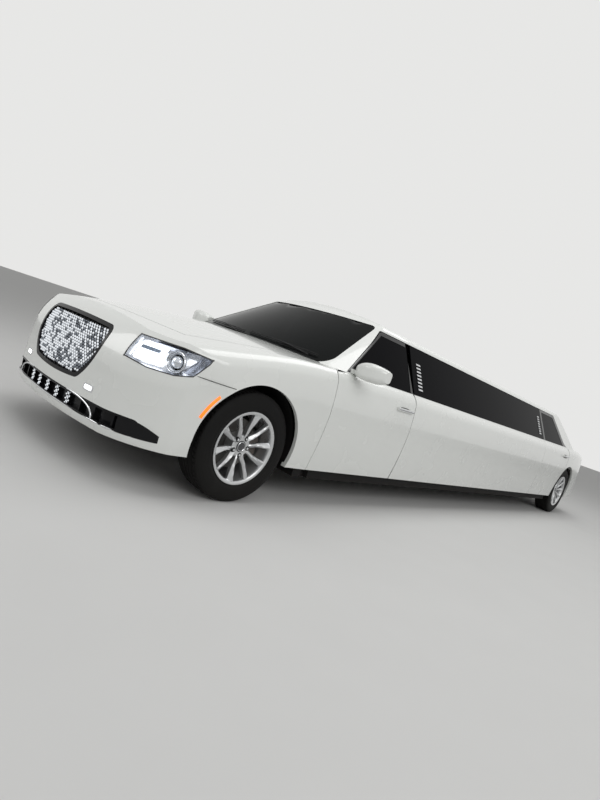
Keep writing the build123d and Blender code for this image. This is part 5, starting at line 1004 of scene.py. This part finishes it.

# %% [markdown]
# The handles get a bright cover and, behind it, a dark pad of painted shade where the finger space is, the
# mirrors their glass and its frame, and the windscreen two wipers. Pads and covers are superellipses drawn
# out in one direction, and a wiper is a few tubes along lines over the glass.

# %% Handles, mirrors and wipers
def flat_pad(y0, y1, z0, z1, x_front, x_back, round_power=5.0):
    """A pad in the plane across the car, its corners rounded by a superellipse."""
    angle = full_turn(64)[None]
    y, z = oblong(y0, y1, z0, z1, angle, np.array((0.0, 0.9, 1.0, 1.0, 0.0))[:, None], round_power)
    x = np.array((x_back, x_back, x_back + 0.2 * (x_front - x_back), x_front, x_front))[:, None]
    return grid(np.stack([x + 0 * angle, y, z], -1), False, True)


HANDLE_LONG, HANDLE_Y, HANDLE_ROUND = 0.240, 0.966, 0.6
COVER_OVER, COVER_THICK, COVER_HIGH = 0.0030, 0.0078, 0.0128
SHADE_PAD_LONG, SHADE_PAD_HIGH = 0.078, 0.022
along, angle = np.linspace(0, 1, 33)[:, None], full_turn(24)[None]
level, upright = squarish(np.cos(angle), HANDLE_ROUND), squarish(np.sin(angle), HANDLE_ROUND)
bulk = (1 - np.abs(2 * along - 1) ** 16) ** 0.5
spread = np.array((0.0, 0.7, 1.0, 1.0, 0.7, 0.0))[:, None]
for place, back_x, height in (("front", 1.795, 0.852), ("rear", -2.888, 0.887)):
    x = back_x - COVER_OVER + (HANDLE_LONG + 2 * COVER_OVER) * along + 0 * angle
    y = HANDLE_Y - 0.007 + COVER_THICK * bulk * level
    z = height + COVER_HIGH * bulk * upright
    cover = [grid(np.stack([x, y, z], -1), False, True)]
    # painted shade: a dark pad on the skin stands for the shade in the finger space behind the grip
    x = back_x + HANDLE_LONG / 2 + SHADE_PAD_LONG * spread * level
    y = np.array((0.9415, 0.9415, 0.9410, 0.936, 0.936, 0.936))[:, None] + 0 * angle
    z = height - 0.004 + SHADE_PAD_HIGH * spread * upright
    shade_pad = [grid(np.stack([x, y, z], -1), False, True)]
    for label, parts, material in (("handle", cover, chrome), ("handle_shade_pad", shade_pad, black_plastic)):
        both_sides(f"{label}_{place}", parts, material, f"{place}_door_left", f"{place}_door_right")

mirror_parts = (
    ("mirror_frame", [flat_pad(0.930, 1.132, 0.986, 1.078, 2.567, 2.572, 3.5)], black_gloss),
    ("mirror_face", [flat_pad(0.936, 1.126, 0.991, 1.073, 2.566, 2.569, 3.5)], mirror_glass),
)
for label, parts, material in mirror_parts:
    both_sides(label, parts, material, "front_door_left", "front_door_right")

SCREEN_X, SCREEN_SLOPE, SCREEN_RADIUS, OUT_X, OUT_Z = 3.020, 1.71, 1.404, 0.50, 0.86


def on_screen(y, z, lift):
    """A place over the windscreen: an arc in plan that slides back as it rises."""
    arc = SCREEN_RADIUS - np.sqrt(SCREEN_RADIUS**2 - y**2)
    x = SCREEN_X - SCREEN_SLOPE * (z - 1.0) - arc
    return np.stack([x + OUT_X * lift, y + 0 * z, z + OUT_Z * lift], -1)


sweep = np.linspace(0, 1, 25)
for label, y_from, y_to in (("left", 0.66, 0.06), ("right", 0.02, -0.58)):
    y = y_from + (y_to - y_from) * sweep
    z = 1.022 + 0.018 * sweep * (1 - 0.4 * sweep)
    blade = [tube(on_screen(y, z, 0.006), 0.0045, 8), tube(on_screen(y, z + 0.006, 0.012), 0.003, 8)]
    arm_y = y_from - 0.04 - 0.30 * sweep
    arm_z = 1.004 + 0.034 * sweep
    arm_lift = 0.012 + 0.006 * np.sin(np.pi * sweep)
    arm = [tube(on_screen(arm_y, arm_z, arm_lift), 0.006 - 0.002 * sweep, 10)]
    piece(f"wiper_{label}", blade + arm, black_plastic)

# %% [markdown]
# A plain pale floor, and soft lamps on the camera's side, over the car and ahead of the nose.
# The world is dim on the object and pale where the camera, gloss or glass sees it.

# %% Studio
FLOOR = 60
corners = [(-FLOOR, -FLOOR, 0), (FLOOR, -FLOOR, 0), (FLOOR, FLOOR, 0), (-FLOOR, FLOOR, 0)]
floor_mesh = bpy.data.meshes.new("floor")
floor_mesh.from_pydata(corners, [], [(0, 1, 2, 3)])
floor = bpy.data.objects.new("floor", floor_mesh)
floor_mesh.materials.append(
    finish("pale floor", (0.62, 0.62, 0.61), (0.60, 0.60, 0.59), (0.7, 0.8), scale=6, specular=0.1)
)
bpy.context.scene.collection.objects.link(floor)


def soft_lamp(name, place, target, width, depth, power):
    """A rectangular lamp at a place, turned to a target."""
    data = bpy.data.lights.new(name, "AREA")
    data.shape = "RECTANGLE"
    data.size, data.size_y, data.energy = width, depth, power
    lamp = bpy.data.objects.new(name, data)
    back = np.array(place, float) - np.array(target, float)
    back /= np.linalg.norm(back)
    across = np.cross((0, 0, 1.0), back)
    across /= np.linalg.norm(across)
    turned_to = np.eye(4)
    turned_to[:3] = np.stack([across, np.cross(back, across), back, np.array(place, float)], axis=1)
    lamp.matrix_world = Matrix(turned_to.tolist())
    bpy.context.scene.collection.objects.link(lamp)


soft_lamp("key", (4.0, 8.0, 5.0), (1.5, 0.5, 0.8), 8.0, 4.0, 240.0)
soft_lamp("overhead", (0.0, 0.5, 6.5), (0.0, 0.0, 0.0), 12.0, 3.0, 230.0)
soft_lamp("nose", (9.0, -3.0, 3.5), (4.0, 0.0, 0.6), 4.0, 3.0, 90.0)

world = bpy.data.worlds.new("studio")
bpy.context.scene.world = world
world.use_nodes = True
sky = world.node_tree
backdrop = sky.nodes["Background"]
seen = sky.nodes.new("ShaderNodeLightPath")
pale = sky.nodes.new("ShaderNodeBackground")
set_inputs(pale, {"Color": (0.80, 0.80, 0.79, 1), "Strength": 1.0})
set_inputs(backdrop, {"Color": (1, 1, 1, 1), "Strength": 0.40})
chooser = sky.nodes.new("ShaderNodeMixShader")
either = math(
    sky, "MAXIMUM", seen.outputs["Is Camera Ray"],
    math(sky, "MAXIMUM", seen.outputs["Is Glossy Ray"], seen.outputs["Is Transmission Ray"]),
)
sky.links.new(either, chooser.inputs[0])
sky.links.new(backdrop.outputs[0], chooser.inputs[1])
sky.links.new(pale.outputs[0], chooser.inputs[2])
sky.links.new(chooser.outputs[0], sky.nodes["World Output"].inputs["Surface"])
